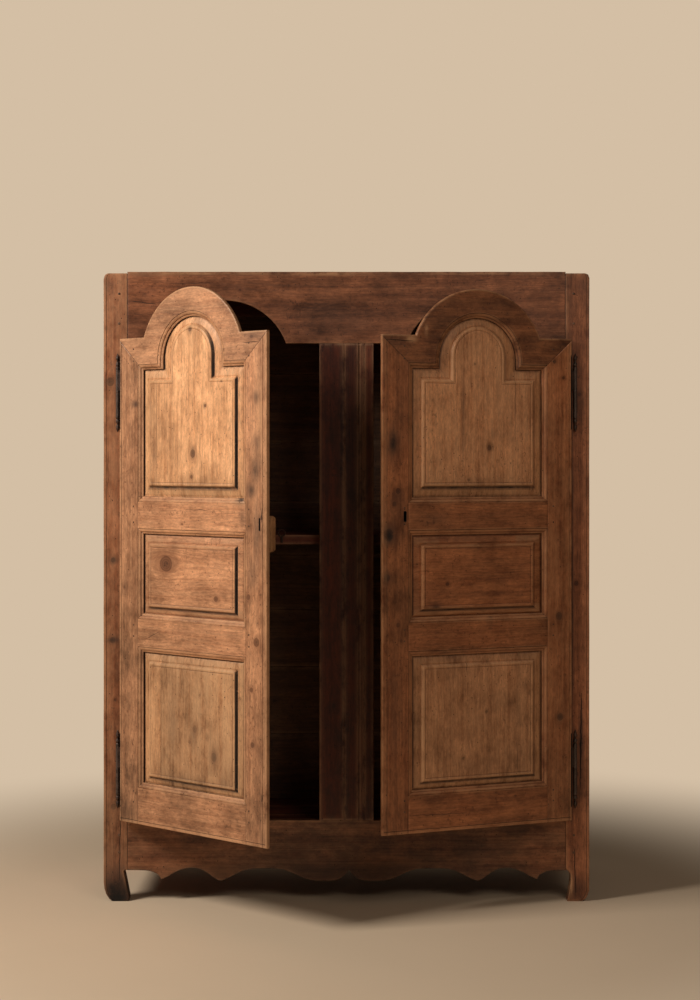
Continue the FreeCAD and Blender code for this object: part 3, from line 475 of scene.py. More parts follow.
class Finish:
    """A material, or the world, under construction: one method adds any node, the rest are short names
    for it."""
    def __init__(self, name, store=bpy.data.materials, last="ShaderNodeOutputMaterial"):
        self.made, self.last = store.new(name), last
        self.made.use_nodes = True
        self.tree = self.made.node_tree
        self.tree.nodes.clear()

    def plug(self, socket, value):
        if isinstance(value, Wire):
            self.tree.links.new(value.socket, socket)
        elif socket.type == "RGBA":
            socket.default_value = (*value[:3], 1)
        else:
            socket.default_value = value

    def node(self, kind_of_node, settings, values, out=0, kind="number"):
        n = self.tree.nodes.new(kind_of_node)
        for key, value in settings.items():
            setattr(n, key, value)
        for key, value in values.items():
            self.plug(n.inputs[key], value)
        return Wire(self, n.outputs[out], kind)

    def attribute(self, name):
        return self.node("ShaderNodeAttribute", {"attribute_name": name}, {}, "Vector", "vector")

    def place(self):
        return self.node("ShaderNodeTexCoord", {}, {}, "Object", "vector")

    def parts(self, vector):
        first = self.node("ShaderNodeSeparateXYZ", {}, {0: vector})
        return [Wire(self, s) for s in first.socket.node.outputs]

    def noise(self, vector, scale=1.0, detail=2.0, rough=0.5):
        values = {"Vector": vector, "Scale": scale, "Detail": detail, "Roughness": rough}
        return self.node("ShaderNodeTexNoise", {}, values, "Fac")

    def specks(self, vector, scale):
        first = self.node("ShaderNodeTexVoronoi", {}, {"Vector": vector, "Scale": scale}, "Distance")
        return first, Wire(self, first.socket.node.outputs["Color"], "vector")

    def between(self, x, low, high):
        """0 below low and 1 above high with a smooth rise, or the reverse when low is above high."""
        ends = {1: low, 2: high} if low < high else {1: high, 2: low, 3: 1.0, 4: 0.0}
        return self.node("ShaderNodeMapRange", {"interpolation_type": "SMOOTHSTEP"}, {0: x, **ends})

    def maths(self, word, a, b=0.0):
        return self.node("ShaderNodeMath", {"operation": word}, {0: a, 1: b})

    def mix(self, share, a, b, word="MIX"):
        return self.node("ShaderNodeMix", {"data_type": "RGBA", "blend_type": word}, {0: share, 6: a, 7: b}, 2,
                         "colour")

    def bump(self, height, strength, distance):
        return self.node("ShaderNodeBump", {}, {"Strength": strength, "Distance": distance, "Height": height},
                         kind="vector")

    def surface(self, kind_of_node, values):
        """Ends the material with its shader."""
        shader = self.node(kind_of_node, {}, values)
        self.plug(self.tree.nodes.new(self.last).inputs["Surface"], shader)
        return self.made


def srgb(r, g, b):
    """A colour given in 0 to 255 display values, as the linear numbers that a socket takes."""
    c = np.array([r, g, b]) / 255
    return tuple(float(v) for v in np.where(c <= 0.04045, c / 12.92, ((c + 0.055) / 1.055) ** 2.4))


# Soot colour and near black darken dirt, stains and painted shade; the rubbed colour lightens worn wood and painted
# highlights.
SOOT_AND_SHADE, BLACK, PIT_BLACK = srgb(43, 30, 27), srgb(12, 6, 4), srgb(16, 9, 6)
DRY_GREY, OLD_GREY, RUBBED_AND_HIGHLIGHT = srgb(178, 140, 102), srgb(150, 138, 122), srgb(214, 172, 128)
RING_WIDTH = 0.0034  # metres from one year's line to the next


def old_pine(name, light, body, dark, lines=0.25, grime_and_shade=0.9, gloss=0.46, dryness=0.0):
    """Old waxed pine. Year rings are the distance from the heart of the tree, made uneven by noise and
    folded into a saw tooth: pale early wood, then a darker late line. Fibres and soft bands are noise
    stretched along the grain. Over that lie large uneven patina, knots with rings of their own, dark
    stains and flecks, cracks, worm holes, bleached dry wood and paler worn arrises. The dark of the stains
    and grime is partly painted shade in hollows and beside parts, the paleness of the wear partly painted
    highlight, and the tone partly painted light and shade."""
    f = Finish(name)
    light, body, dark = srgb(*light), srgb(*body), srgb(*dark)
    grain, place = f.attribute("grain"), f.place()
    knot, wear_and_highlight, stain_and_shade = f.parts(f.attribute("marks"))
    tone, bleach, split = f.parts(f.attribute("state"))

    broad = f.noise(grain * (1.3, 9.0, 9.0)) - 0.5
    waver = f.noise(grain * (7.0, 45.0, 45.0)) - 0.5
    heart = f.node("ShaderNodeVectorMath", {"operation": "LENGTH"}, {0: grain * (0.0, 1.0, 1.0)}, "Value")
    rings = (heart + broad * 0.034 + waver * 0.0030) / RING_WIDTH
    saw = f.maths("FRACT", rings)
    late = f.between(saw, 0.25, 0.85) * f.between(saw, 1.0, 0.88)
    year = f.node("ShaderNodeCombineXYZ", {}, {0: rings * 0.31, 1: broad * 3.0}, kind="vector")
    late = late * f.noise(year, detail=1.0) * 2.0
    fibre = f.noise(grain * (14.0, 900.0, 900.0), rough=0.6)
    streak = f.noise(grain * (2.4, 95.0, 95.0), detail=3.0, rough=0.6)
    band = f.noise(grain * (1.1, 26.0, 26.0), detail=3.0, rough=0.65)
    flake = f.between(f.noise(grain * (45.0, 1500.0, 1500.0), detail=1.0), 0.63, 0.75)
    patina = f.noise(place, 5.0, 5.0, 0.65)
    cloud = f.noise(grain * (13.0, 22.0, 22.0), detail=6.0, rough=0.7)
    fleck = f.between(f.noise(place * (1.0, 1.0, 0.7), 110.0, 3.0, 0.7), 0.57, 0.68)
    scuff = f.between(f.noise(place * (1.0, 1.0, 2.2), 46.0, 4.0, 0.7), 0.58, 0.74)
    grit = f.noise(grain * (45.0, 170.0, 170.0), detail=4.0, rough=0.75)

    colour = f.mix(f.between(streak * 0.45 + band * 0.25 + cloud * 0.3, 0.34, 0.64), body, light)
    for share in (late * lines, flake * 0.25, f.between(fibre, 0.52, 0.30) * 0.2,
                  fleck * f.between(patina, 0.40, 0.58) * 0.6):
        colour = f.mix(share, colour, dark)
    # The tone and its patches scale the colour; some of those patches are painted light and shade.
    shade = f.maths("MAXIMUM", patina * 1.4 + cloud * 1.3 + band * 0.9 + tone * 0.34 - 0.78, 0.32)
    colour = colour * (shade * (grit * 1.6 + 0.2))

    near = knot + (cloud - 0.5) * 0.5 + (fibre - 0.5) * 0.22
    core = f.between(near, 1.08, 0.86)
    knot_rings = f.between(f.maths("FRACT", near * 3.3), 0.3, 0.85) * 0.5 + f.between(near, 0.5, 0.1) * 0.4
    knot_colour = f.mix(knot_rings, f.mix(0.30, dark, body), tuple(c * 0.45 for c in dark))
    colour = f.mix(f.between(near, 2.6, 1.0) * 0.42, colour, f.mix(0.5, dark, body))
    colour = f.mix(core * 0.88, colour, knot_colour)

    dry = bleach * f.between(cloud * 0.6 + streak * 0.4 + band * 0.5, 0.55, 0.95)
    soot_and_shade = stain_and_shade * (0.2 + cloud * 1.6)
    rub_and_highlight = wear_and_highlight * f.between(cloud + streak * 0.35, 0.46, 0.76)
    # Dark towards soot colour and near black, pale where rubbed: the grime and stains here also carry painted shade
    # in hollows and beside parts, the wear also painted highlights.
    for share, other in ((dry * 0.8, DRY_GREY), (f.between(soot_and_shade, 0.05, 1.15) * grime_and_shade, SOOT_AND_SHADE),
                         (rub_and_highlight * 0.6, f.mix(0.45, light, RUBBED_AND_HIGHLIGHT)),
                         (f.between(stain_and_shade + cloud * 0.3, 0.85, 1.15), BLACK), (scuff * 0.24, light)):
        colour = f.mix(share, colour, other)
    if dryness:
        colour = f.mix(dryness * patina, colour, OLD_GREY)

    hole, cell = f.specks(place * (1.0, 1.0, 0.8), 105.0)
    worm = f.between(hole, 0.17, 0.11) * f.between(f.parts(cell)[0], 0.90, 0.91)
    black = f.maths("MAXIMUM", worm, f.between(f.maths("ABSOLUTE", split), 1.25, 0.75))
    colour = f.mix(black * 0.93, colour, PIT_BLACK)

    rough = gloss + (cloud - 0.5) * 0.3 + late * 0.05 + soot_and_shade * 0.10 - rub_and_highlight * 0.10 + dry * 0.20 + black * 0.3
    height = f.noise(place, 30.0, 3.0, 0.65) * 0.9 + f.noise(place, 9.0, 1.0) * 1.6 + late * 0.08 \
        + fibre * 0.16 - core * 0.12 - black * 1.8 - flake * 0.10 + band * 0.5
    return f.surface("ShaderNodeBsdfPrincipled", {
        "Base Color": colour, "Roughness": rough, "Specular IOR Level": 0.38,
        "Normal": f.bump(height, 0.55, 0.0011)})


def old_iron(name, metal, rust):
    """Hand-forged iron gone brown: hammer facets and pits in the bump, rust in patches, rubbed edges."""
    f = Finish(name)
    place = f.place()
    wear_and_highlight = f.parts(f.attribute("marks"))[1]
    patch = f.between(f.noise(place, 70.0, 4.0, 0.65), 0.42, 0.62)
    grit = f.noise(place, 420.0, 3.0, 0.7)
    colour = f.mix(patch * 0.85, metal, rust)
    colour = f.mix(f.between(grit, 0.55, 0.75) * 0.5, colour, srgb(96, 62, 44))
    colour = f.mix(wear_and_highlight * f.between(grit, 0.35, 0.6) * 0.6, colour, srgb(120, 108, 100))
    return f.surface("ShaderNodeBsdfPrincipled", {
        "Base Color": colour, "Roughness": 0.42 + patch * 0.3 + grit * 0.1, "Metallic": 0.85 - patch * 0.6,
        "Normal": f.bump(grit * 0.7 + f.noise(place, 95.0, 1.0), 0.6, 0.0008)})


FRAME_WOOD = old_pine("frame_pine", (164, 102, 67), (136, 79, 49), (64, 32, 19), gloss=0.44, lines=0.14)
# The centre stile, deep between the doors, gets a darker and redder copy of the frame wood: partly painted shade.
SHADE_WOOD = old_pine("centre_pine", (94, 36, 10), (72, 25, 7), (32, 10, 3), grime_and_shade=0.35, gloss=0.5)
# Lit and shaded copies of one door wood: the left door and its panels lighter, the right ones darker, partly painted
# light on the left door, turned to the lamp, and painted shade on the right door, turned away.
DOOR_WOOD = {-1: old_pine("left_door_pine", (202, 146, 106), (174, 118, 82), (92, 52, 34), lines=0.16),
             1: old_pine("right_door_pine", (166, 102, 62), (138, 80, 47), (66, 34, 18), lines=0.16)}
PANEL_WOOD = {-1: old_pine("left_panel_pine", (218, 164, 118), (182, 126, 84), (104, 62, 38), lines=0.1),
              1: old_pine("right_panel_pine", (194, 137, 96), (162, 108, 71), (82, 46, 28), lines=0.1)}
# Inside wood darker and redder than the frame, partly painted shade inside the cabinet.
INNER_WOOD = old_pine("inside_pine", (108, 48, 27), (82, 32, 17), (40, 14, 7), gloss=0.62)
BACK_WOOD = old_pine("outside_back_pine", (112, 74, 46), (84, 50, 30), (44, 26, 15), gloss=0.66, dryness=0.2)
PALE_WOOD = old_pine("pale_beech", (172, 122, 80), (146, 98, 60), (84, 50, 29), lines=0.1)
PEG_WOOD = old_pine("peg_oak", (96, 60, 38), (70, 42, 26), (36, 20, 12))
IRON = old_iron("forged_iron", srgb(72, 59, 52), srgb(78, 48, 34))


# ---- door stiles and rails ----
QUARTER = np.linspace(0, math.pi / 2, 6)
ARRIS = np.stack([FILLET - FILLET * np.cos(QUARTER), FILLET - FILLET * np.sin(QUARTER)], 1)
QUIRK_STEPS = np.array([-.9, -.5, .5, .9])
# The wall of the panel groove under the moulding is darkened to near black: painted shade in the gap.
SIGHT_WALL = [(0, 12, 0, 1), (10, 12, 0, 1), (10, 19, 0, 1), (0, 19, 0, 1), (0, 29.2, .6, 0)]
FLAT_END = 86.2  # the flat face of a stile ends here
SHEAR_Z = 1500.0  # above this the rows of a stile lean towards its joint with the arched rail
SQUARE_U = 112.0  # from here on the columns of a rail run square


def column(rows):
    """Lists of (place, depth, wear, grime) put together as four arrays."""
    return np.concatenate([np.atleast_2d(np.asarray(r, float)) for r in rows]).T


def run(a, b, step, depth, wear_and_highlight=0.0, grime_and_shade=0.0):
    """Evenly spaced section points strictly between a and b at one depth."""
    at = np.linspace(a, b, max(2, int(round(abs(b - a) / step))) + 1)[1:-1]
    return np.stack([at, at * 0 + depth, at * 0 + wear_and_highlight, at * 0 + grime_and_shade], 1)


def placed(rows, at, way):
    """Section points whose places are counted from another place, one way or the other."""
    return [(at + way * d, n, wear_and_highlight, grime_and_shade) for d, n, wear_and_highlight, grime_and_shade in rows]


def scratched_line(at, grime_and_shade, wear_and_highlight):
    """Section points of a narrow groove: down, along its floor and up again."""
    return [(at - .9, 0, .6, .3), (at - .5, QUIRK_DEEP, 0, grime_and_shade), (at + .5, QUIRK_DEEP, 0, grime_and_shade),
            (at + .9, 0, wear_and_highlight, .3)]


def outer_edge(rebate):
    """Outer edge of a stile from the back of the rebate, round the lip and on to the face."""
    return [(rebate, DOOR_T - 8, 0, .5), (rebate, LIP_T + .2, 0, .8), (rebate * .5, LIP_T, 0, .5),
            (.9, LIP_T, .5, .2), (.2, LIP_T - .5, .8, 0), (0, LIP_T - 1.2, .8, 0), (0, 8, .55, 0),
            (0, FILLET + 1, .8, 0)] + [(w, n, 1.0, 0) for w, n in ARRIS]


def worn_face(name, at, wave):
    """How far a face has sunk: slow unevenness that never stands proud."""
    return .25 + wander(at, seed_of(name), .25, wave)


def stile_skin(side, name, hinge):
    """A door stile. The section runs round the lip, over the face with its quirk, down the moulding, in
    and out of the panel groove and back behind; it is carried up the door. Beside a rail the inner
    part folds back onto the joint line, w = min(w, joint), so the moulding ends on its mitre, and the
    top rows lean onto the line where the arched rail meets the stile."""
    rebate, quirk = (REBATE_HINGE, QUIRK_HINGE) if hinge else (REBATE_LOCK, QUIRK_LOCK)
    w, n, wear_and_highlight, grime_and_shade = column([
        outer_edge(rebate), run(FILLET, quirk - .9, 3.0, 0, .5), scratched_line(quirk, 1, .4),
        run(quirk + .9, FLAT_END, 4.2, 0, .12), (FLAT_END, 0, .12, .15), placed(MOULD[::-1], SIGHT_U, -1),
        placed(SIGHT_WALL, SIGHT_U, -1), (SIGHT_U - .8, DOOR_T, .5, 0),
        run(SIGHT_U - .8, rebate + .8, 9.0, DOOR_T, .05, .2), (rebate + .8, DOOR_T, .4, 0)])
    turns = [s - MOULD_D for s in (LOWER[0], MIDDLE[0], UPPER[0])] + [s + MOULD_D for s in (LOWER[1], MIDDLE[1])]
    low = np.concatenate([DOOR_Z0 + FILLET - FILLET * np.cos(QUARTER),
                          stops(DOOR_Z0 + FILLET, SHEAR_Z, 4.6, *turns, DOOR_Z0 + QUIRK_LOW + QUIRK_STEPS)])
    top = np.where(w > JOINT_U, UPPER[1] + SIGHT_U - w, UPPER[1] + MOULD_W + (JOINT_U - w) * MITRE)
    share = np.append(np.linspace(0, 1, 44)[1:], 1.0)
    share[-2] = 1 - 0.8 / 240  # a last row close to the joint
    z = np.concatenate([np.unique(low)[:, None] + 0 * w, SHEAR_Z + share[:, None] * (top - SHEAR_Z)])
    reach = np.full(z.shape, SIGHT_U)
    for below, above in ((-1e9, LOWER[0]), (LOWER[1], MIDDLE[0]), (MIDDLE[1], UPPER[0])):
        up = JOINT_U + np.clip(z - (above - MOULD_W), 0, MOULD_W)
        down = JOINT_U + np.clip(below + MOULD_W - z, 0, MOULD_W)
        reach = np.where((z > below) & (z < above), np.maximum(up, down), reach)
    front = np.arange(len(w)) <= np.argmax(w >= SIGHT_U)
    w2 = np.minimum(w, reach)
    folded = (w >= reach - 1e-6) & (reach < SIGHT_U) & front & (w > quirk + 2)
    n2 = np.where(folded, np.interp(SIGHT_U - reach, MOULD_D, MOULD_N) + JOINT_DEEP, n + 0 * z)
    bottom_round = FILLET - np.sqrt(np.clip(FILLET ** 2 - np.clip(DOOR_Z0 + FILLET - z, 0, FILLET) ** 2, 0, None))
    n2 = np.where(front, np.maximum(n2, bottom_round), n2)
    n2[-1] += np.where(front & (w > 2), JOINT_DEEP, 0)
    scratched = (np.abs(z - DOOR_Z0 - QUIRK_LOW) < .6) & front & (w > FILLET)
    n2 = np.where(scratched, np.maximum(n2, QUIRK_DEEP), n2)
    u = w2 if hinge else DOOR_W - w2
    rub_and_highlight = np.maximum(wear_and_highlight, 1.1 * np.exp(-((z - DOOR_Z0) / 10.0) ** 2))
    dirt_and_shade = np.maximum(grime_and_shade * .75, np.where(folded, .9, 0)) + .25 * np.exp(-(z - DOOR_Z0) / 60.0)
    dirt_and_shade = np.where(scratched, 1.1, dirt_and_shade)
    if hinge:
        # Painted shadow: the hinge edge goes near black beside each hinge, where the barrel shades it.
        beside = (w < 5) & (np.min(np.abs(z[..., None] - HINGE_Z), -1) < 118)
        dirt_and_shade = np.where(beside, 1.2, dirt_and_shade)
    n2 = n2 + np.where(front & (n2 < 1), worn_face(name, z, 340.0), 0)
    return skin(hang(side, u, n2, z), timber(name, z, u, n2, rub_and_highlight, dirt_and_shade))


def rail_skin(side, name, z0, z1, moulded_below=True):
    """A straight door rail: its section in height and depth carried along the door. Both ends follow
    the joint line with the stiles, which steps out along the mitre of each moulding."""
    if moulded_below:
        lower, first = placed(SIGHT_WALL[::-1], z0, 1) + placed(MOULD, z0, 1), z0 + MOULD_W
    else:
        line = z0 + QUIRK_LOW
        lower = [(z0, 29.2, .5, 0), (z0, 16, .3, .2), (z0, FILLET + 1, .8, 0)]
        lower += [(z0 + w, n, 1.0, 0) for w, n in ARRIS] + [(z0 + 6.5, 0, .7, 0)]
        lower, first = lower + scratched_line(line, 1.1, .5), line + .9
    # The moulding on the top of a rail faces up: more wear and less dirt there, painted light from above.
    mould_lit_from_above = np.minimum(MOULD[::-1] * (1, 1, 1.4, .4), (99, 99, 1, 1))
    z, n, wear_and_highlight, grime_and_shade = column([
        lower, run(first, z1 - MOULD_W, 4.4, 0, .12), placed(mould_lit_from_above, z1, -1), placed(SIGHT_WALL, z1, -1),
        (z1 - .8, DOOR_T, .4, 0), run(z1 - .8, z0 + .8, 9.0, DOOR_T, 0, .2), (z0 + .8, DOOR_T, .4, 0)])
    end = JOINT_U + np.clip(MOULD_W - (z1 - z), 0, None)
    if moulded_below:
        end = end + np.clip(MOULD_W - (z - z0), 0, None)
    left = end + np.array([0.0, 0.03, 0.3, 0.65])[:, None] * (SQUARE_U - end)
    middle = stops(SQUARE_U, DOOR_W - SQUARE_U, 5.0)[:, None] + 0 * end
    u = np.concatenate([left, middle, DOOR_W - left[::-1]])
    front = n < 9.5
    n2, dirt_and_shade = n + 0 * u, grime_and_shade * .75 + 0 * u
    n2[[0, -1]] += np.where(front, JOINT_DEEP, 0)
    n2 = n2 + np.where(front & (n2 < 1), worn_face(name, u, 260.0), 0)
    dirt_and_shade[[0, -1]] = np.maximum(dirt_and_shade[[0, -1]], .9 * front)
    z = z + 0 * u
    return skin(hang(side, u, n2, z), timber(name, u, z, n2, wear_and_highlight, dirt_and_shade))


# ---- arched door rail ----
SHOULDER_ROWS, NECK_ROWS, HALF_ARC = 20, 7, 34


def arc(r, x, z, a):
    """Points of a circle of radius r about (x, z) at the angles a."""
    return np.stack([x + r * np.cos(a), z + r * np.sin(a)], 1)


def half_sight(d):
    """Left half of the round-headed sight line grown by d: shoulder, neck, then the arc by angle."""
    neck, z = MID_U - NECK - d, UPPER[1] + d
    return np.concatenate([
        np.stack([np.linspace(SIGHT_U - d, neck, SHOULDER_ROWS), np.full(SHOULDER_ROWS, z)], 1),
        np.stack([np.full(NECK_ROWS, neck), np.linspace(z, NECK_Z, NECK_ROWS + 2)[1:-1]], 1),
        arc(NECK + d, MID_U, NECK_Z, np.linspace(math.pi, math.pi / 2, HALF_ARC))])


def half_head(edge, top, r):
    """Left half of the door's outline in the same rows: from the joint with the stile up to the corner,
    along the shoulder to the foot of the arc, then the arc by angle."""
    foot = math.atan2(top - ARCH_Z, -math.sqrt(r * r - (top - ARCH_Z) ** 2))
    a = np.concatenate([np.linspace(foot, foot - .05, NECK_ROWS + 1)[1:],
                        np.linspace(foot - .055, math.pi / 2, HALF_ARC)])
    shoulder = np.linspace(edge, MID_U + r * math.cos(foot), SHOULDER_ROWS - 1)
    joint = UPPER[1] + MOULD_W + (JOINT_U - edge) * MITRE
    return np.concatenate([[(edge, joint)], np.stack([shoulder, np.full(SHOULDER_ROWS - 1, top)], 1),
                           arc(r, MID_U, ARCH_Z, a)])


def both(left, right=None):
    """A left half followed by the mirror image of a right half, without its repeated middle row."""
    right = (left if right is None else right)[-2::-1]
    return np.concatenate([left, np.stack([DOOR_W - right[:, 0], right[:, 1]], 1)])


def arched_skin(side, name):
    """The round-headed top rail. Rows follow the sight line from mitre to mitre over the arch; in each
    row the section goes from the panel groove up the moulding, straight out to the door's outline,
    round its arris, over the rebate and back behind."""
    def sight(d):
        return both(half_sight(d))

    def head(q):
        return both(half_head(q, DOOR_TOP - q, ARCH_R - q))

    def back(q):
        return both(*(half_head(rebate + q, DOOR_TOP - REBATE_TOP - q, BACK_ARCH_R - q)
                      for rebate in (REBATE_HINGE, REBATE_LOCK)))
    cols = [(sight(d), n, wear_and_highlight, grime_and_shade) for d, n, wear_and_highlight, grime_and_shade in [*SIGHT_WALL[::-1], *MOULD]]
    a, b = sight(MOULD_W), head(FILLET)
    cols += [(a + (b - a) * t, 0.0, .12, 0) for t in np.linspace(0, 1, 24)[1:-1]]
    cols += [(head(q), n, 1.0, 0) for q, n in ARRIS[::-1]]
    cols += [(head(0), FILLET + 1, .8, 0), (head(0), 8, .5, 0), (head(0), LIP_T - 1.2, .8, 0),
             (head(.9), LIP_T, .4, .3), (back(0), LIP_T + .2, 0, .8), (back(0), 29.2, .4, 0)]
    a, b = back(.8), sight(.8)
    cols += [(a + (b - a) * t, DOOR_T, .05, .2) for t in np.linspace(0, 1, 12)]
    path = np.stack([c[0] for c in cols], 1)
    n, wear_and_highlight, dirt_and_shade = (np.array([c[k] for c in cols])[None] * scale + 0 * path[..., 0]
                     for k, scale in ((1, 1), (2, 1), (3, .75)))
    front = n[0] < 3
    n[[0, -1]] += np.where(front, .4, 0)
    dirt_and_shade[[0, -1]] = np.maximum(dirt_and_shade[[0, -1]], .9 * front)
    u, z = path[..., 0], path[..., 1]
    n = n + np.where(n < .5, worn_face(name, u + z, 300.0), 0)
    return skin(hang(side, u, n, z), timber(name, u, z, n, wear_and_highlight, dirt_and_shade))


# ---- raised panels ----
ROUND_COUNTS, HEAD_COUNT = (35, 60, 18, 14), 57
PANEL_BACK, TONGUE_BACK, TONGUE_FRONT, TONGUE_IN, FIELD_N = 22.0, 18.7, 12.3, 9, 2.25
# How far the field's rim lies inside the sight edge: at the sides, then at foot and head by shape.
FIELD_SIDE, FIELD_ROUND, FIELD_SQUARE = 34, (36, 38), (26, 33)
FIELD_NECK, FIELD_NECK_Z = 88, 1723.0

# From the sight edge over the sloping margin to the foot of the step: share of the way, depth, wear,
# dirt. Then up the step and over the rim of the field: distance outside the field, depth, wear, dirt.
# The near-black dirt at the sight edge and at the foot of the step is painted shade in those hollows,
# and the paler wear on the step is partly painted highlight.
MARGIN = [(0, 14.8, 0, 1.2), (.06, 14.7, 0, .9), (.12, 14.4, 0, .75), (.17, 13.6, 0, .6), (.21, 12.9, .2, .3),
          (.28, 12.3, .3, .1), (.38, 11.6, .3, 0), (.5, 10.9, .3, 0), (.62, 10.2, .3, 0), (.74, 9.5, .3, 0),
          (.83, 9.0, .2, .1), (.88, 8.9, .1, .4), (.91, 9.7, 0, .8), (1, 9.6, 0, .9)]
STEP = [(5.7, 8.6, .1, .6), (4.8, 7.2, .4, .15), (3.2, 5.6, .6, 0), (1.7, 4.05, .6, 0), (.6, 3.0, .8, 0),
        (0, 2.6, 1, 0), (-.8, 2.35, 1, 0), (-2.2, 2.25, .7, 0), (-4.2, 2.25, .6, 0), (-6.0, 2.4, .3, .1),
        (-6.8, 3.0, 0, .5), (-8.4, 3.1, 0, .5), (-8.9, 2.5, .2, .2), (-10, 2.3, .1, 0)]


def legs(corners, counts):
    """Points on the straight lines from corner to corner; each line leaves its end to the next one."""
    return [np.stack([np.linspace(p, q, n + 1)[:-1] for p, q in zip(a, b)], 1)
            for a, b, n in zip(corners, corners[1:], counts)]


def round_outline(half, z0, z1, neck, centre):
    """Closed outline of the round-headed panel, from the bottom middle round to the left. Also gives
    the point on the panel's own middle line that each outline point is drawn towards."""
    left = legs([(0, z0), (-half, z0), (-half, z1), (-neck, z1), (-neck, centre)], ROUND_COUNTS)
    head = arc(neck, 0, centre, np.linspace(math.pi, 0, HEAD_COUNT))
    right = np.concatenate(left[1:])[::-1] * [-1, 1]
    low, tall = z0 + 0.42 * (z1 - z0), z1 - z0
    spine = legs([(MID_U, z) for z in (low, low, low + .28 * tall, z1 + 6, centre)], ROUND_COUNTS)
    top = np.full((HEAD_COUNT, 2), (MID_U, centre))
    pts = np.concatenate(left + [head, right] + legs([(half, z0), (0, z0)], ROUND_COUNTS))
    return pts + [MID_U, 0], np.concatenate(spine + [top, np.concatenate(spine[1:])[::-1], spine[0]])


def square_outline(half, z0, z1):
    """Closed outline of a rectangular panel and the nearest point of its middle line for each point."""
    corners = oblong(-half, half, z0, z1)
    pts = np.concatenate(legs(corners + corners[:1], (76, 64, 76, 64)))
    mid, short = (z0 + z1) / 2, min(half, (z1 - z0) / 2)
    core = np.stack([np.clip(pts[:, 0], short - half, half - short),
                     np.clip(pts[:, 1], min(z0 + short, mid), max(z1 - short, mid))], 1)
    return pts + [MID_U, 0], core + [MID_U, 0]


def panel_skin(side, name, which):
    """A raised and fielded panel: closed rings from the middle of the back out to the tongue, over the
    tongue, up the sloping margin, over the small step and flat across the field to its middle line."""
    z0, z1 = {"upper": UPPER, "middle": MIDDLE, "lower": LOWER}[which]
    foot, head = FIELD_ROUND if which == "upper" else FIELD_SQUARE

    def outline(half, low, high, neck, centre):
        return round_outline(half, low, high, neck, centre) if which == "upper" else \
            square_outline(half, low, high)

    def at(d):
        return outline(SIGHT_HALF + d, z0 - d, z1 + d, NECK + d, NECK_Z)

    def field(g):
        return outline(SIGHT_HALF - FIELD_SIDE + g, z0 + foot - g, z1 - head + g, FIELD_NECK + g, FIELD_NECK_Z)
    (edge, core), tongue, rim = at(-.4), at(TONGUE_IN)[0], field(6.1)[0]
    rings = [(edge + (core - edge) * t, PANEL_BACK, 0, .2) for t in np.linspace(1, 0, 12)]
    rings += [(edge, TONGUE_BACK, 0, .5), (tongue, TONGUE_BACK, 0, .5), (tongue, TONGUE_FRONT, 0, .5),
              (edge, TONGUE_FRONT, 0, 1)]
    rings += [(edge + (rim - edge) * t, n, wear_and_highlight, dirt_and_shade) for t, n, wear_and_highlight, dirt_and_shade in MARGIN]
    foot_of_step = len(rings)
    rings += [(field(g)[0], n, wear_and_highlight, dirt_and_shade) for g, n, wear_and_highlight, dirt_and_shade in STEP]
    start, middle = field(-10)
    rings += [(start + (middle - start) * t, FIELD_N, .1, 0) for t in np.linspace(0, 1, 32)[1:]]
    path = np.stack([r[0] for r in rings])
    n, wear_and_highlight, dirt_and_shade = (np.array([r[k] for r in rings])[:, None] + 0 * path[..., 0] for k in (1, 2, 3))
    u, z = path[..., 0], path[..., 1]
    # Painted light and shade by how the field's sides face the light from the upper left: sides facing away from it
    # and lower sides are darkened on the step and margin (painted shadow, stronger on the left door), the sight
    # channel is left lighter on the sides where light falls into it, and the step facing the light is made paler
    # (painted highlight).
    facing = outward_normals(rim)
    facing_from_light, facing_light, down, up = (np.clip(v, 0, 1) for v in (
        -side * facing[:, 0], side * facing[:, 0], -facing[:, 1], facing[:, 1]))
    shaded_sides = np.minimum(facing_from_light * (.95 if side < 0 else .4) + down * .8, .95)
    channel_lit_sides = np.minimum(down * .75 + up * .3 + facing_from_light * .4, .8)
    row = np.arange(len(n))[:, None] - foot_of_step
    dirt_and_shade = np.where((row > -4) & (n > 3.2), np.maximum(dirt_and_shade * (.25 + .75 * shaded_sides), shaded_sides), dirt_and_shade)
    dirt_and_shade = np.where((row > -15) & (n > 12.2), dirt_and_shade * (1 - channel_lit_sides), dirt_and_shade)
    dirt_and_shade = np.where((row > -6) & (row < 0), np.maximum(dirt_and_shade, .6 * down), dirt_and_shade)
    wear_and_highlight = np.where((row >= 0) & (row < 8), np.maximum(wear_and_highlight, facing_light), wear_and_highlight)
    cup = .35 * wander(u, 7 + len(name), 1.0, 240.0) + .2 * wander(z, 3 + len(name), 1.0, 300.0)
    n = n + np.where(n < 11, cup, 0) * ease(np.abs(u - MID_U), SIGHT_HALF, SIGHT_HALF - 40)
    along, across = (u, z) if which == "middle" else (z, u)
    data = timber(name, along, across, n, wear_and_highlight, dirt_and_shade)
    level = (n > 8.8) & (n < 13.2) & ((z - z0 < 30) | (z1 - z < 30) & (np.abs(u - MID_U) > NECK))
    data[2][..., 1] = np.maximum(data[2][..., 1], .55 * level)
    return skin(hang(side, u, n, z), data, caps=False)


# ---- pegs, hinges and the two doors ----
def door_pegs(side):
    """Small round pegs whose heads stand just proud of the face, two through each joint."""
    profile = [(0, 29), (2.8, 29), (3, 28), (3, .3), (2.6, -.25), (1.4, -.45), (0, -.5)]
    return [pin(lambda a, b, h: hang(side, u + a, h, z + b), profile, 14, "peg%d%d" % (u, z), .45)
            for u in (67.0, DOOR_W - 74.0) for z in (328, 362, 849, 884, 1206, 1256, 1712, 1750)]


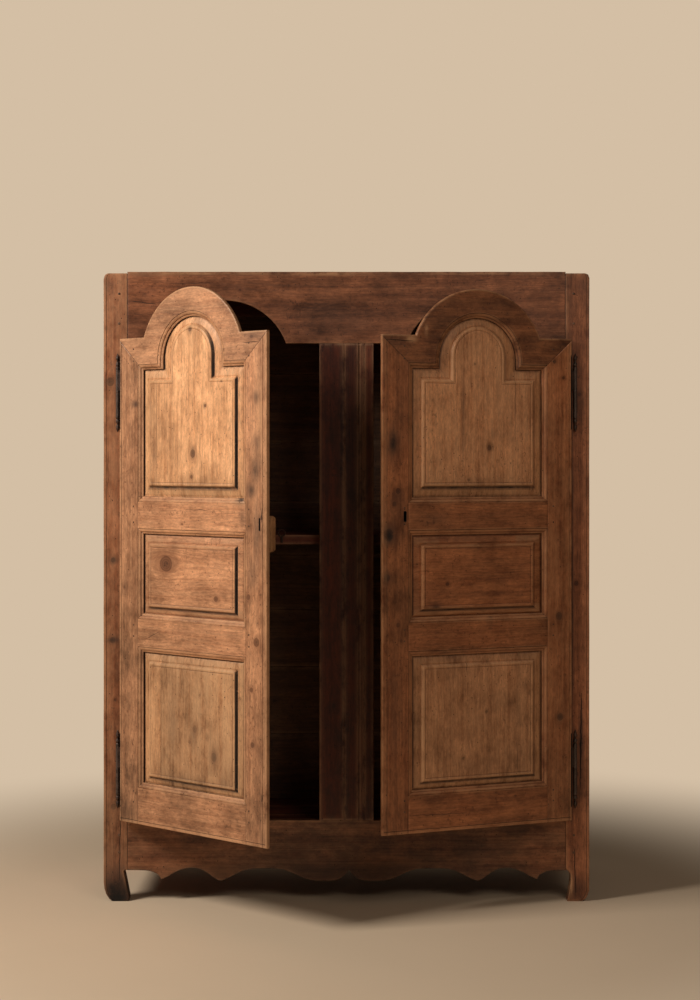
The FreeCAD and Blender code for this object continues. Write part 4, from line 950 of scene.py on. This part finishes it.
FINIAL = [(6.2, 0), (6.2, 1.5), (5.6, 2.9), (4.2, 4), (3.9, 5.2), (4.6, 6.6), (5.8, 8.4), (6.25, 10.5), (6.3, 12),
          (5.9, 14.2), (4.6, 16.6), (3.6, 19), (3.2, 22), (3.7, 24), (4.9, 26.6), (5.5, 29.4), (5.6, 31), (5.3, 34),
          (4.4, 37.6), (3.2, 41), (2.2, 43.6), (1.3, 45.6), (.6, 46.8), (0, 47)]


def barrel(low, high, up):
    """Knuckle with its finial as one turned profile: rings at both ends, slightly swollen middle."""
    r = np.array([(0, low), (5.4, low), (6.1, low + .6), (6.2, low + 2), (6.05, low + 6), (5.95, (low + high) / 2),
                  (6.05, high - 6), (6.2, high - 2)] + [(a, high + b) for a, b in FINIAL])
    if not up:
        r[:, 1] = low + high - r[:, 1]
    return r


def hinge_skins(side, framed):
    """Frame halves stand at the hinge line with the pin and a leaf let into the stile; door halves turn
    with the door and carry a leaf let into its edge."""
    def stand(a, b, h):
        return world(side * HINGE_X + a, HINGE_Y + b, h) if framed else \
            hang(side, DOOR_EDGE - HINGE_X + a, LIP_T + HINGE_Y + b, h)
    skins = []
    for hz in HINGE_Z:
        if framed:
            skins.append(pin(stand, [(0, hz - 20), (2.9, hz - 20), (2.9, hz + 61), (0, hz + 62)], 12))
            low, high, leaf, at = hz - 78, hz - .2, oblong(-1.5, 1.5, 2.5, 35.5), stops(hz - 70, hz - 8, 8)
        else:
            low, high, leaf, at = hz + .2, hz + 78, oblong(0, 38, -1.5, 1.5), stops(hz + 8, hz + 70, 8)
        a, b, h = turned(barrel(low, high, not framed))
        p, swell = stand(a, b, h), np.exp(-np.abs(a ** 2 + b ** 2 - 36) / 8)
        marks = np.stack([0 * a + 6, swell * .8, 0 * a], -1)
        skins += [skin(p, (p / 1000, marks, marks * 0), caps=False),
                  skin(stand(*carried(section(leaf, .5, 8)[0], at)))]
    return skins


def door(side):
    """All pieces of one door. Gives back its lock stile."""
    body = WORD[side] + "_door"

    def make(part, shape, *values, finish=DOOR_WOOD[side], slot="door_wood"):
        name = "%s_%s" % (body, part)
        return piece(name, [shape(side, name, *values)], finish, body, [name])
    make("hinge_stile", stile_skin, True)
    lock_stile = make("lock_stile", stile_skin, False)
    make("bottom_rail", rail_skin, DOOR_Z0, LOWER[0], False)
    make("lower_rail", rail_skin, LOWER[1], MIDDLE[0])
    make("upper_rail", rail_skin, MIDDLE[1], UPPER[0])
    make("arched_rail", arched_skin)
    # the small middle panel has the colour of the door's frame
    for which, woods in (("lower", PANEL_WOOD), ("middle", DOOR_WOOD), ("upper", PANEL_WOOD)):
        make(which + "_panel", panel_skin, which, finish=woods[side], slot="panel_wood")
    piece(body + "_pegs", door_pegs(side), PEG_WOOD, body, [body + "_pegs"])
    piece(body + "_hinges", hinge_skins(side, False), IRON, body, [body + "_hinge_knuckles"])
    return lock_stile


def cut_through(obj, points):
    """Takes a closed grid of points out of a piece, for good. Each point that is left finds its board
    data at the nearest old point; the rim of the hole is dark."""
    def numbers(store, word):
        out = np.empty(len(store) * 3, np.float32)
        store.foreach_get(word, out)
        return out.reshape(-1, 3)
    old = numbers(obj.data.vertices, "co")
    data = [numbers(obj.data.attributes[label].data, "vector") for label in LAYERS]
    first, faces = shell(points, True)
    tool = bpy.data.meshes.new("cutter")
    tool.from_pydata(points.reshape(-1, 3)[first] / 1000, [], faces)
    cutter = put_in_scene("cutter", tool)
    cut = obj.modifiers.new("hole", "BOOLEAN")
    cut.operation, cut.solver, cut.object = "DIFFERENCE", "EXACT", cutter
    graph = bpy.context.evaluated_depsgraph_get()
    result = bpy.data.meshes.new_from_object(obj.evaluated_get(graph), depsgraph=graph)
    obj.modifiers.clear()
    obj.data = result
    new = numbers(result.vertices, "co")
    _, index, owner = np.unique(np.round(np.concatenate([old, new]) * 1e6).astype(np.int64), axis=0,
                                return_index=True, return_inverse=True)
    source = index[owner.reshape(-1)[len(old):]]
    lost = np.flatnonzero(source >= len(old))
    source[lost] = [np.argmin(np.sum((old - new[i]) ** 2, axis=1)) for i in lost]
    for label, values in zip(LAYERS, data):
        values = values[source]
        if label == "marks":
            values[lost, 2] = 1.3
        layer = result.attributes.get(label) or result.attributes.new(label, "FLOAT_VECTOR", "POINT")
        layer.data.foreach_set("vector", values.ravel())
    bpy.data.objects.remove(cutter)


left_lock, right_lock = door(-1), door(1)

# A narrow slot in the left lock stile, a keyhole with round ends in the right one.
KEY_U, KEY_Z = 577.0, 1230.0
u, z, n = carried(section(oblong(621.8, 626.2, 1194, 1230), .8, 9)[0], [-3.0, 18.0])
cut_through(left_lock, hang(-1, u, n, z))
around = np.linspace(0, 2 * math.pi, 32, endpoint=False)
key_line = np.stack([KEY_U + 4 * np.cos(around), KEY_Z + 4 * np.sin(around) + 12 * np.sign(np.sin(around))], 1)
u, z, n = carried(key_line, [-3.0, 33.0])
cut_through(right_lock, hang(1, u, n, z))

# The wooden turn button behind the left door, with its packing block and screw.
BUTTON_U, BUTTON_Z, BUTTON_HALF, BUTTON_BACK = 601.0, 1182.0, 18.0, 74.0
BUTTON_BOX = BUTTON_U - BUTTON_HALF, BUTTON_U + BUTTON_HALF
packing = block(-1, *BUTTON_BOX, 30.2, 51.6, BUTTON_Z - 40, BUTTON_Z + 40, "packing", 2.0, 1.5)
piece("left_door_button_block", [packing], PALE_WOOD, "left_door", ["left_door_button_spacer"])
pts, rub_and_highlight = section(oblong(*BUTTON_BOX, 52, BUTTON_BACK), 2.5, 4)
rows = np.array([-54, -53.2, -50, -46, -30, -15, 0, 15, 30, 46, 50, 53.2, 54.0])[:, None]
narrow = np.interp(np.abs(rows), [0, 46, 50, 53.2, 54], [0, 0, .8, 4.4, 5.4])
bevel = np.interp(np.abs(rows), [0, 46, 54], [0, 0, 8.0])
u = BUTTON_U + (pts[:, 0] - BUTTON_U) * (1 - narrow / BUTTON_HALF)
n = np.minimum(pts[:, 1], BUTTON_BACK - bevel)
z = BUTTON_Z + rows + 0 * u
button = skin(hang(-1, u, n, z), timber("turn_button", z, u, n, np.maximum(rub_and_highlight, .3), .05))
piece("turn_button_wood", [button], PALE_WOOD, "turn_button", ["turn_button"])
screw = pin(lambda a, b, h: hang(-1, BUTTON_U + a, h, BUTTON_Z + b),
            [(0, 20), (3.9, 20), (3.9, 74.2), (7.6, 74.3), (8.0, 74.7), (7.6, 75.6), (6, 76), (0, 76)], 20)
piece("left_door_button_iron", [screw], IRON, "left_door", ["left_door_button_screw"])

# Iron lock behind the right door: a case with a raised rim, four nails, and the sliding bolt.
lock = [block(1, KEY_U + u0, KEY_U + u1, n0, n1, KEY_Z + z0, KEY_Z + z1) for u0, u1, n0, n1, z0, z1 in (
    (-38, 41, 44.5, 52, -40, 40), (-38, 41, 30.1, 44.5, -9.6, 40), (-38, 41, 30.1, 44.5, -40, -30.4),
    (-38, -30, 30.1, 44.5, -31, -9))]
lock += [pin(lambda a, b, h: hang(1, KEY_U + du + a, np.minimum(h, 52.0), KEY_Z + dz + b),
             [(0, 51.8), (3.6, 51.8), (3.4, 53), (2.2, 53.9), (0, 54.2)], 14)
         for du in (-32, 34) for dz in (-34, 34)]
piece("right_door_lock_iron", lock, IRON, "right_door", ["right_door_lock_case"])
bolt = block(1, KEY_U - 6, KEY_U + 41, 36.1, 43.9, KEY_Z - 30, KEY_Z - 10, radius=1.0)
piece("lock_bolt_iron", [bolt], IRON, "lock_bolt", ["lock_bolt"])

# ---- front of the frame ----
def frame_piece(name, skins, finish=FRAME_WOOD, node=None):
    """A piece of the cabinet, in place of the CAD node of its own name or of another."""
    return piece(name, skins, finish, "cabinet", [node or name])


def stretched(s, low, high, whole, ends):
    """Carries the places s of an outline, whole long, to between low and high in every row. Both ends
    keep their size and what lies between them is stretched."""
    inner = np.clip((s - ends) / (whole - 2 * ends), 0, 1)
    return low[:, None] + np.minimum(s, ends) + inner * (high - low - 2 * ends)[:, None] \
        + np.maximum(s - whole + ends, 0)


# Left and right edge of each front stile: heights, and the places in X at those heights.
FOOT = {-1: (([0, 7, 22, 40, 60, 1976, 1990, POST_Z], [-742, -754, -764, -770, -772, -772, -768, -759]),
             ([0, 17, 66, 93, 99, 104, POST_Z], [-691, -692, -702, -708, -706, -696, -696])),
        1: (([0, 12, 40, 70, 88, 96, 104, POST_Z], [700, 704, 709, 713, 711, 704, 696, 696]),
            ([0, 10, 34, 1980, 1991, POST_Z], [746, 762, 772, 772, 768, 759]))}


def front_stile(side):
    """A front stile: its section, with a scratched line near the outer arris, carried up from the floor.
    Left and right edges follow the height, so the feet and heads take their worn shape."""
    name = "front_%s_stile" % WORD[side]
    ends = np.array([0, .5, 1.6, POST_Z - 1.6, POST_Z - .5, POST_Z])
    z = np.unique(np.concatenate([ends, stops(ends[2], ends[3], 6.0, *[line[0][1:-1] for line in FOOT[side]])]))
    x0, x1 = (np.interp(z, *line) for line in FOOT[side])
    x0, x1 = x0 + .3 + wander(z, 11 + side, .3, 420.0), x1 - .3 - wander(z, 17 + side, .3, 380.0)
    pts, wear_and_highlight = section(oblong(0, STILE_W, 0, STILE_T), 2.6, 4.5)
    s, y = pts.T
    groove = (y < .01) & (s > 3) & (s < STILE_W - 3)
    order = np.argsort(np.where(groove, s, 1e9))[:groove.sum()]
    marks = (9.0 if side < 0 else STILE_W - 9.0) + np.array([-.9, -.4, .4, .9])
    at = order[0] + np.searchsorted(s[order], marks[0])
    s, y, wear_and_highlight = (np.insert(line, at, new) for line, new in (
        (s, marks), (y, [0, 1.1, 1.1, 0]), (wear_and_highlight, [.4, 0, 0, .4])))
    dirty = np.zeros(len(s))
    dirty[at + 1:at + 3] = .9
    draw = np.interp(z, ends, [1.6, .5, 0, 0, .5, 1.6])[:, None]
    x = stretched(s, x0, x1, STILE_W, 12.0) + draw * np.clip((STILE_W / 2 - s) / 20, -1, 1)
    yy = y + draw * np.clip((STILE_T / 2 - y) / 15, -1, 1) \
        + np.where(y < 2, .25, 0) * (1 + wander(z, 5, 1, 300))[:, None]
    beside_rail = (z > SILL_Z - 150) & (z < SILL_Z) | (z > HEAD_Z)
    joint = np.exp(-np.abs(x - side * INNER) / 1.2) * beside_rail[:, None] * (y < 1)
    zz = z[:, None] + 0 * x
    rub_and_highlight = np.maximum(wear_and_highlight, np.exp(-np.minimum(zz, POST_Z - zz) / 6))
    dirt_and_shade = np.maximum(dirty, joint * .8) + .5 * np.exp(-zz / 40)
    frame_piece(name, [skin(world(x, yy, zz), timber(name, zz, x, yy, rub_and_highlight, dirt_and_shade))])


def rail_between(name, x, low, high, shade_along_low_edge):
    """A front rail whose lower edge is a curve: the section is stretched between low(x) and high."""
    pts, wear_and_highlight = section(oblong(0, RAIL_T, 0, 100), [2.4, 2.0, 1.5, 1.6], 4.5)
    y, s = pts.T
    z = stretched(s, low, high, 100, 8.0)
    xx = x[:, None] + 0 * z
    edge = np.exp(-np.minimum(x + INNER, INNER - x) / 1.0)[:, None] * (y < 1)
    yy = y + np.where(y < 2, .25, 0) * (1 + wander(x, 9, 1, 260))[:, None] + edge * .5
    rub_and_highlight = np.clip(wear_and_highlight * (.6 + .4 * wander(xx, 21, 1, 90)), 0, 1)
    # Painted shade: darker along the lower edge, the apron's most of all.
    dirt_and_shade = np.maximum(edge * .9, shade_along_low_edge * np.exp(-(z - low[:, None]) / 10))
    frame_piece(name, [skin(world(xx, yy, z), timber(name, xx, z, yy, rub_and_highlight, dirt_and_shade))])


DOOR_MIDDLE = DOOR_EDGE - MID_U


def cut_out(x):
    """Lower edge of the top rail: level, rising in a circle over each door."""
    rise = np.sqrt(np.clip(CUT_R ** 2 - (np.abs(x) - DOOR_MIDDLE) ** 2, 0, None)) + ARCH_Z
    return np.maximum(HEAD_Z, rise)


# The apron's lower edge as distance from its middle and height, a list for each lobe.
APRON = ([(0, 99), (14, 83), (30, 71), (48, 66), (80, 64.5), (112, 66), (140, 72), (165, 83), (190, 94), (212, 101),
          (240, 103.5), (275, 104), (310, 102.5), (335, 97), (360, 86), (385, 73), (405, 65)],
         [(405, 65), (414, 66), (428, 74), (450, 90), (475, 102), (500, 106), (522, 103), (548, 94), (572, 80),
          (597, 69)],
         [(597, 69), (602, 79), (615, 89), (635, 96), (660, 98), (690, 98.5), (720, 98.5)])


def apron_line(x):
    """Lower edge of the bottom rail: a cubic curve through the drawn points of each lobe, the same on
    both sides of its middle. Slopes at the points are those of a parabola through three neighbours."""
    a = np.abs(x - APRON_MIDDLE)
    out = np.zeros_like(a)
    for lobe in APRON:
        px, pz = np.array(lobe, float).T
        slope = np.gradient(pz, px)
        i = np.clip(np.searchsorted(px, a, side="right") - 1, 0, len(px) - 2)
        h = px[i + 1] - px[i]
        t = np.clip((a - px[i]) / h, 0, 1)
        value = (2 * t ** 3 - 3 * t ** 2 + 1) * pz[i] + (t ** 3 - 2 * t ** 2 + t) * h * slope[i] \
            + (3 * t ** 2 - 2 * t ** 3) * pz[i + 1] + (t ** 3 - t ** 2) * h * slope[i + 1]
        out = np.where((a >= px[0]) & (a <= px[-1]), value, out)
    return out


front_stile(-1)
front_stile(1)
rail_ends = [-INNER + .8, INNER - .8]
arc_x = DOOR_MIDDLE - CUT_R * np.cos(np.linspace(.34, math.pi - .34, 70))
x = stops(-INNER, INNER, 6.0, arc_x, -arc_x, rail_ends)
rail_between("front_top_rail", x, cut_out(x), TOP_Z - .3 - wander(x, 31, .3, 200), .35)
cusps = [APRON_MIDDLE + s * v for s in (-1, 1) for v in (0, 4, 405, 409, 597, 599.5)]
x = stops(-INNER, INNER, 4.0, sorted(set(cusps)), rail_ends)
rail_between("front_bottom_rail", x, apron_line(x), np.full(len(x), SILL_Z), .9)

# The centre stile with its scratched grooves: place, width and depth of each.
corners = [(-86, 0)]
for g, w, d in ((-9, 2.5, 2.5), (37, 5.0, 3.0), (55, 2.0, 2.0)):
    corners += [(g, 0), (g + .2, d), (g + w - .2, d), (g + w, 0)]
line = section(corners + [(86, 0), (86, 22), (-86, 22)], [1.5] + [.3] * 12 + [1.5] * 3, 6)
frame_piece("centre_stile", [bar("z", SILL_Z, HEAD_Z, line, "centre_stile", 9.0, .1, 0, 0.0)], SHADE_WOOD)


# ---- posts, sides, back and inside ----
SIDE_RAILS = (("top", 1880.0, POST_Z), ("middle", 1080.0, 1180.0), ("bottom", 140.0, 262.0))
PANEL_IN = 11  # how far a side panel goes into the rails
BOARD_FRONT, BOARD_LAP, BOARD_BACK = 484.5, 491.5, 498.4  # depths of the half-lapped back boards


def mirrored(side, corners):
    """Corners given for the right-hand side, put on the side that is asked for."""
    return [(side * x, other) for x, other in corners]


for side in (-1, 1):
    name = "back_%s_post" % WORD[side]
    post = [(POST_IN, BACK_IN), (HALF, BACK_IN), (HALF, DEPTH), (POST_IN + 20, DEPTH), (POST_IN + 20, BACK_REBATE),
            (POST_IN, BACK_REBATE)]
    line = section(mirrored(side, post), [2, 2.5, 2.5, 1, .5, 1], 7)
    frame_piece(name, [bar("z", 0, POST_Z, line, name, 16.0, 2.0)])
    for part, z0, z1 in SIDE_RAILS:
        name = "%s_side_%s_rail" % (WORD[side], part)
        rail = oblong(SIDE_IN, HALF, z0, z1)
        if part == "top":
            rail = rail[:3] + [(SIDE_IN + 14, z1), (SIDE_IN + 14, ROOF_Z), (SIDE_IN, ROOF_Z)]
        line = section(mirrored(side, rail), 1.6, 6)
        frame_piece(name, [bar("y", SIDE_FRONT, SIDE_BACK, line, name, 9.0, .5)])
    name = "%s_side_panels" % WORD[side]
    line = section(mirrored(side, oblong(752.3, 763.7, 50.3, 454.7)), 2.0, 6)
    frame_piece(name, [bar("z", z0 - PANEL_IN, z1 + PANEL_IN, line, name + str(int(z0)), 12.0, .5)
                       for (_, z1, _), (_, _, z0) in zip(SIDE_RAILS, SIDE_RAILS[1:])])

for name, z0, z1 in (("back_top_rail", 1890, 1974), ("back_bottom_rail", 122, 221)):
    line = section(oblong(BACK_IN, 480, z0, z1), 2, 7)
    frame_piece(name, [bar("x", -POST_IN, POST_IN, line, name, 20.0, .5)], INNER_WOOD)
for i in range(8):
    z0, z1 = BACK_JOINTS[i] + .4, BACK_JOINTS[i + 1] - .4
    low, high = z0 + 9 * (i > 0), z1 + 9 * (i < 7)  # the back half laps 9 mm over the board below
    shape = [(BOARD_FRONT, z0)] + [(BOARD_LAP, z0), (BOARD_LAP, low)] * (i > 0) + [(BOARD_BACK, low)]
    shape += [(BOARD_BACK, high)] + [(BOARD_LAP + .4, high), (BOARD_LAP + .4, z1)] * (i < 7) + [(BOARD_FRONT, z1)]
    name = "back_board_%d" % (i + 1)
    board = bar("x", -721.4, 721.4, section(shape, 1.4, 7), name, 16.0, .8, grime_and_shade=.1)
    frame_piece(name, [board], BACK_WOOD)


def flat_boards(name, half, edges, z0, z1, finish, node=None):
    """Boards lying side by side across the cabinet, cut back round the stiles and posts at the ends."""
    reach = np.array([POST_IN - .6, POST_IN + .6, half - 1, half])
    at = np.concatenate([-reach[::-1], np.linspace(-INNER + 1.6, INNER - 1.6, 90)[1:-1], reach])
    pts, wear_and_highlight = section(oblong(0, 100, z0, z1), 1.4, 7)
    skins = []
    for k, (a, b) in enumerate(zip(edges, edges[1:])):
        lo, hi = a + .4, b - .4
        narrow = np.abs(at) > (INNER - .5 if lo < STILE_T else POST_IN - .1)
        y0 = np.where(narrow & (lo < STILE_T), max(lo, STILE_T + .4), lo)
        y1 = np.where(narrow & (hi > BACK_IN), min(hi, BACK_IN - .4), hi)
        y = stretched(pts[:, 0], y0, y1, 100, 10)
        x, z = at[:, None] + 0 * y, pts[:, 1] + 0 * y
        skins.append(skin(world(x, y, z), timber(name + str(k), x, y, z, wear_and_highlight, .15)))
    frame_piece(name, skins, finish, node)


flat_boards("roof_boards", SIDE_IN + 13.4, [RAIL_T, 182, 335, BOARD_FRONT], ROOF_Z, 1994.6, BACK_WOOD)
flat_boards("floor_boards", SIDE_IN - .5, [RAIL_T, 175, 330, BOARD_FRONT], FLOOR_Z, 241.6, INNER_WOOD)
flat_boards("shelf_board", SIDE_IN - .5, [64.0, BOARD_FRONT], SHELF_Z, 1161.0, INNER_WOOD, "shelf")
skins = []
for side in (-1, 1):
    for top, tall in ((SHELF_Z, 26.0), (FLOOR_Z, 24.0)):
        line = section(mirrored(side, oblong(SIDE_IN - 22, SIDE_IN, top - tall, top)), 1.5, 8)
        skins.append(bar("y", SIDE_FRONT, SIDE_BACK, line, "bearer%d" % top, 20.0, 1.0))
for top in (FLOOR_Z, ROOF_Z):
    line = section(oblong(32.1, 49.5, top - 24, top), 1.5, 8)
    skins.append(bar("x", -INNER + 2, INNER - 2, line, "batten%d" % top, 20.0, 1.0))
frame_piece("board_bearers", skins, INNER_WOOD)
line = section(oblong(-84, -34, 22.1, 37.5), 2.5, 5)
frame_piece("button_keeper", [bar("z", 1152, 1212, line, "keeper", 6.0, 2.0, 0)], INNER_WOOD)

# ---- iron eye on the shelf, pegs and hinges of the frame ----
EYE_X, EYE_Y, EYE_Z, EYE_R = -208.5, 59.8, 1168.0, 11
big = np.linspace(0, 2 * math.pi, 49)[:, None]
small = np.linspace(0, 2 * math.pi, 14, endpoint=False)[None]
wire = 2.1 + .15 * np.sin(3 * big)
across = EYE_R + wire * np.cos(small)
ring = skin(world(EYE_X + across * np.sin(big), EYE_Y + wire * np.sin(small), EYE_Z + across * np.cos(big)),
            caps=False)
stem = pin(lambda a, b, h: world(EYE_X + a, EYE_Y + b, h),
           [(0, 1141), (2.4, 1142), (2.3, 1150), (2.6, 1156), (1.6, 1158.5), (0, 1159)], 12)
line = section(oblong(EYE_X - 4, EYE_X + 4, 61.5, 64.4), .6, 3)[0]
plate = skin(world(*carried(line, [1136, 1136.6, 1140, 1146, 1152, 1156.4, 1157.0])))
frame_piece("shelf_eye_iron", [ring, stem, plate], IRON, "shelf_eye")

skins = []
PEG_HEAD = [(4, 0), (3.5, -.5), (2, -.75), (0, -.8)]
for s in (-1, 1):
    for z in (1835, 1930, 155, 210):
        skins.append(pin(lambda a, b, h: world(s * (INNER + 26) + a, h, z + b),
                         [(0, 38), (3.8, 38), (4, 37)] + PEG_HEAD, 16, "pin%d" % z, .5))
    for z in (1930.0, 1130.0, 201.0):
        for y in (33.0, 465.0):
            skins.append(pin(lambda a, b, h: world(s * (HALF - h), y + a, z + b),
                             [(0, 22), (3.8, 22), (4, 21)] + PEG_HEAD, 16, "pin%d" % z, .5))
frame_piece("frame_pegs", skins, PEG_WOOD, "carcass_pegs")
knuckles = hinge_skins(-1, True) + hinge_skins(1, True)
frame_piece("frame_hinges_iron", knuckles, IRON, "frame_hinges")

# ---- studio: floor, background, lamps, camera ----
BACKGROUND = srgb(212, 191, 165)


def studio_floor():
    """Plain pale floor that takes the shadow near the cabinet and, to the camera, fades into the
    background colour further out."""
    f = Finish("studio_floor")
    x, y, _ = f.parts(f.place())
    far = f.maths("SQRT", x * x + y * y)
    share = f.between(far, 1.1, 2.8) * f.node("ShaderNodeLightPath", {}, {}, "Is Camera Ray")
    grain = f.noise(f.place(), 3.0, 3.0)
    pale = f.mix(grain * 0.5, srgb(228, 203, 173), srgb(220, 195, 165))
    matt = f.node("ShaderNodeBsdfPrincipled", {}, {"Base Color": pale, "Roughness": 0.75})
    glow = f.node("ShaderNodeEmission", {}, {"Color": BACKGROUND, "Strength": 1.0})
    mesh = bpy.data.meshes.new("studio_floor")
    mesh.from_pydata([(x, y, 0) for x, y in oblong(-12, 12, -12, 12)], [], [(0, 1, 2, 3)])
    mesh.materials.append(f.surface("ShaderNodeMixShader", {0: share, 1: matt, 2: glow}))
    put_in_scene("studio_floor", mesh)


def studio_world():
    """The camera sees the background colour; everything else gets a faint warm light."""
    sky = Finish("studio", bpy.data.worlds, "ShaderNodeOutputWorld")
    light = {"Color": (1.0, 0.84, 0.68), "Strength": 0.055}
    return sky.surface("ShaderNodeMixShader", {
        0: sky.node("ShaderNodeLightPath", {}, {}, "Is Camera Ray"),
        1: sky.node("ShaderNodeBackground", {}, light),
        2: sky.node("ShaderNodeBackground", {}, {"Color": BACKGROUND})})


def lamp(name, place, aim, size, power, colour):
    """A soft square lamp at a place, turned towards its aim."""
    light = bpy.data.lights.new(name, "AREA")
    light.shape, light.size, light.energy, light.color = "SQUARE", size, power, colour
    obj = put_in_scene(name, light)
    obj.location = place
    obj.rotation_euler = (Vector(aim) - Vector(place)).to_track_quat("-Z", "Y").to_euler()


studio_floor()
bpy.context.scene.world = studio_world()
lamp("window_side_lamp", (-3.44, -2.0, 3.67), (-0.1, -0.15, 1.1), 1.4, 170.0, (1.0, 0.95, 0.88))
lamp("front_fill_lamp", (1.8, -4.2, 3.7), (0.0, 0.0, 1.0), 2.0, 32.0, (1.0, 0.90, 0.78))

camera = put_in_scene("camera", bpy.data.cameras.new("camera"))
bpy.context.scene.camera = camera
camera.location = (0.0651, -6.0425, 1.4135)
camera.rotation_euler = (math.pi / 2, 0, 0)
camera.data.sensor_fit, camera.data.sensor_width = "AUTO", 36.0
camera.data.lens = 68.22
camera.data.shift_x, camera.data.shift_y = -0.017, -0.0437
camera.data.clip_end = 60.0
bpy.context.scene.view_settings.view_transform = "Standard"
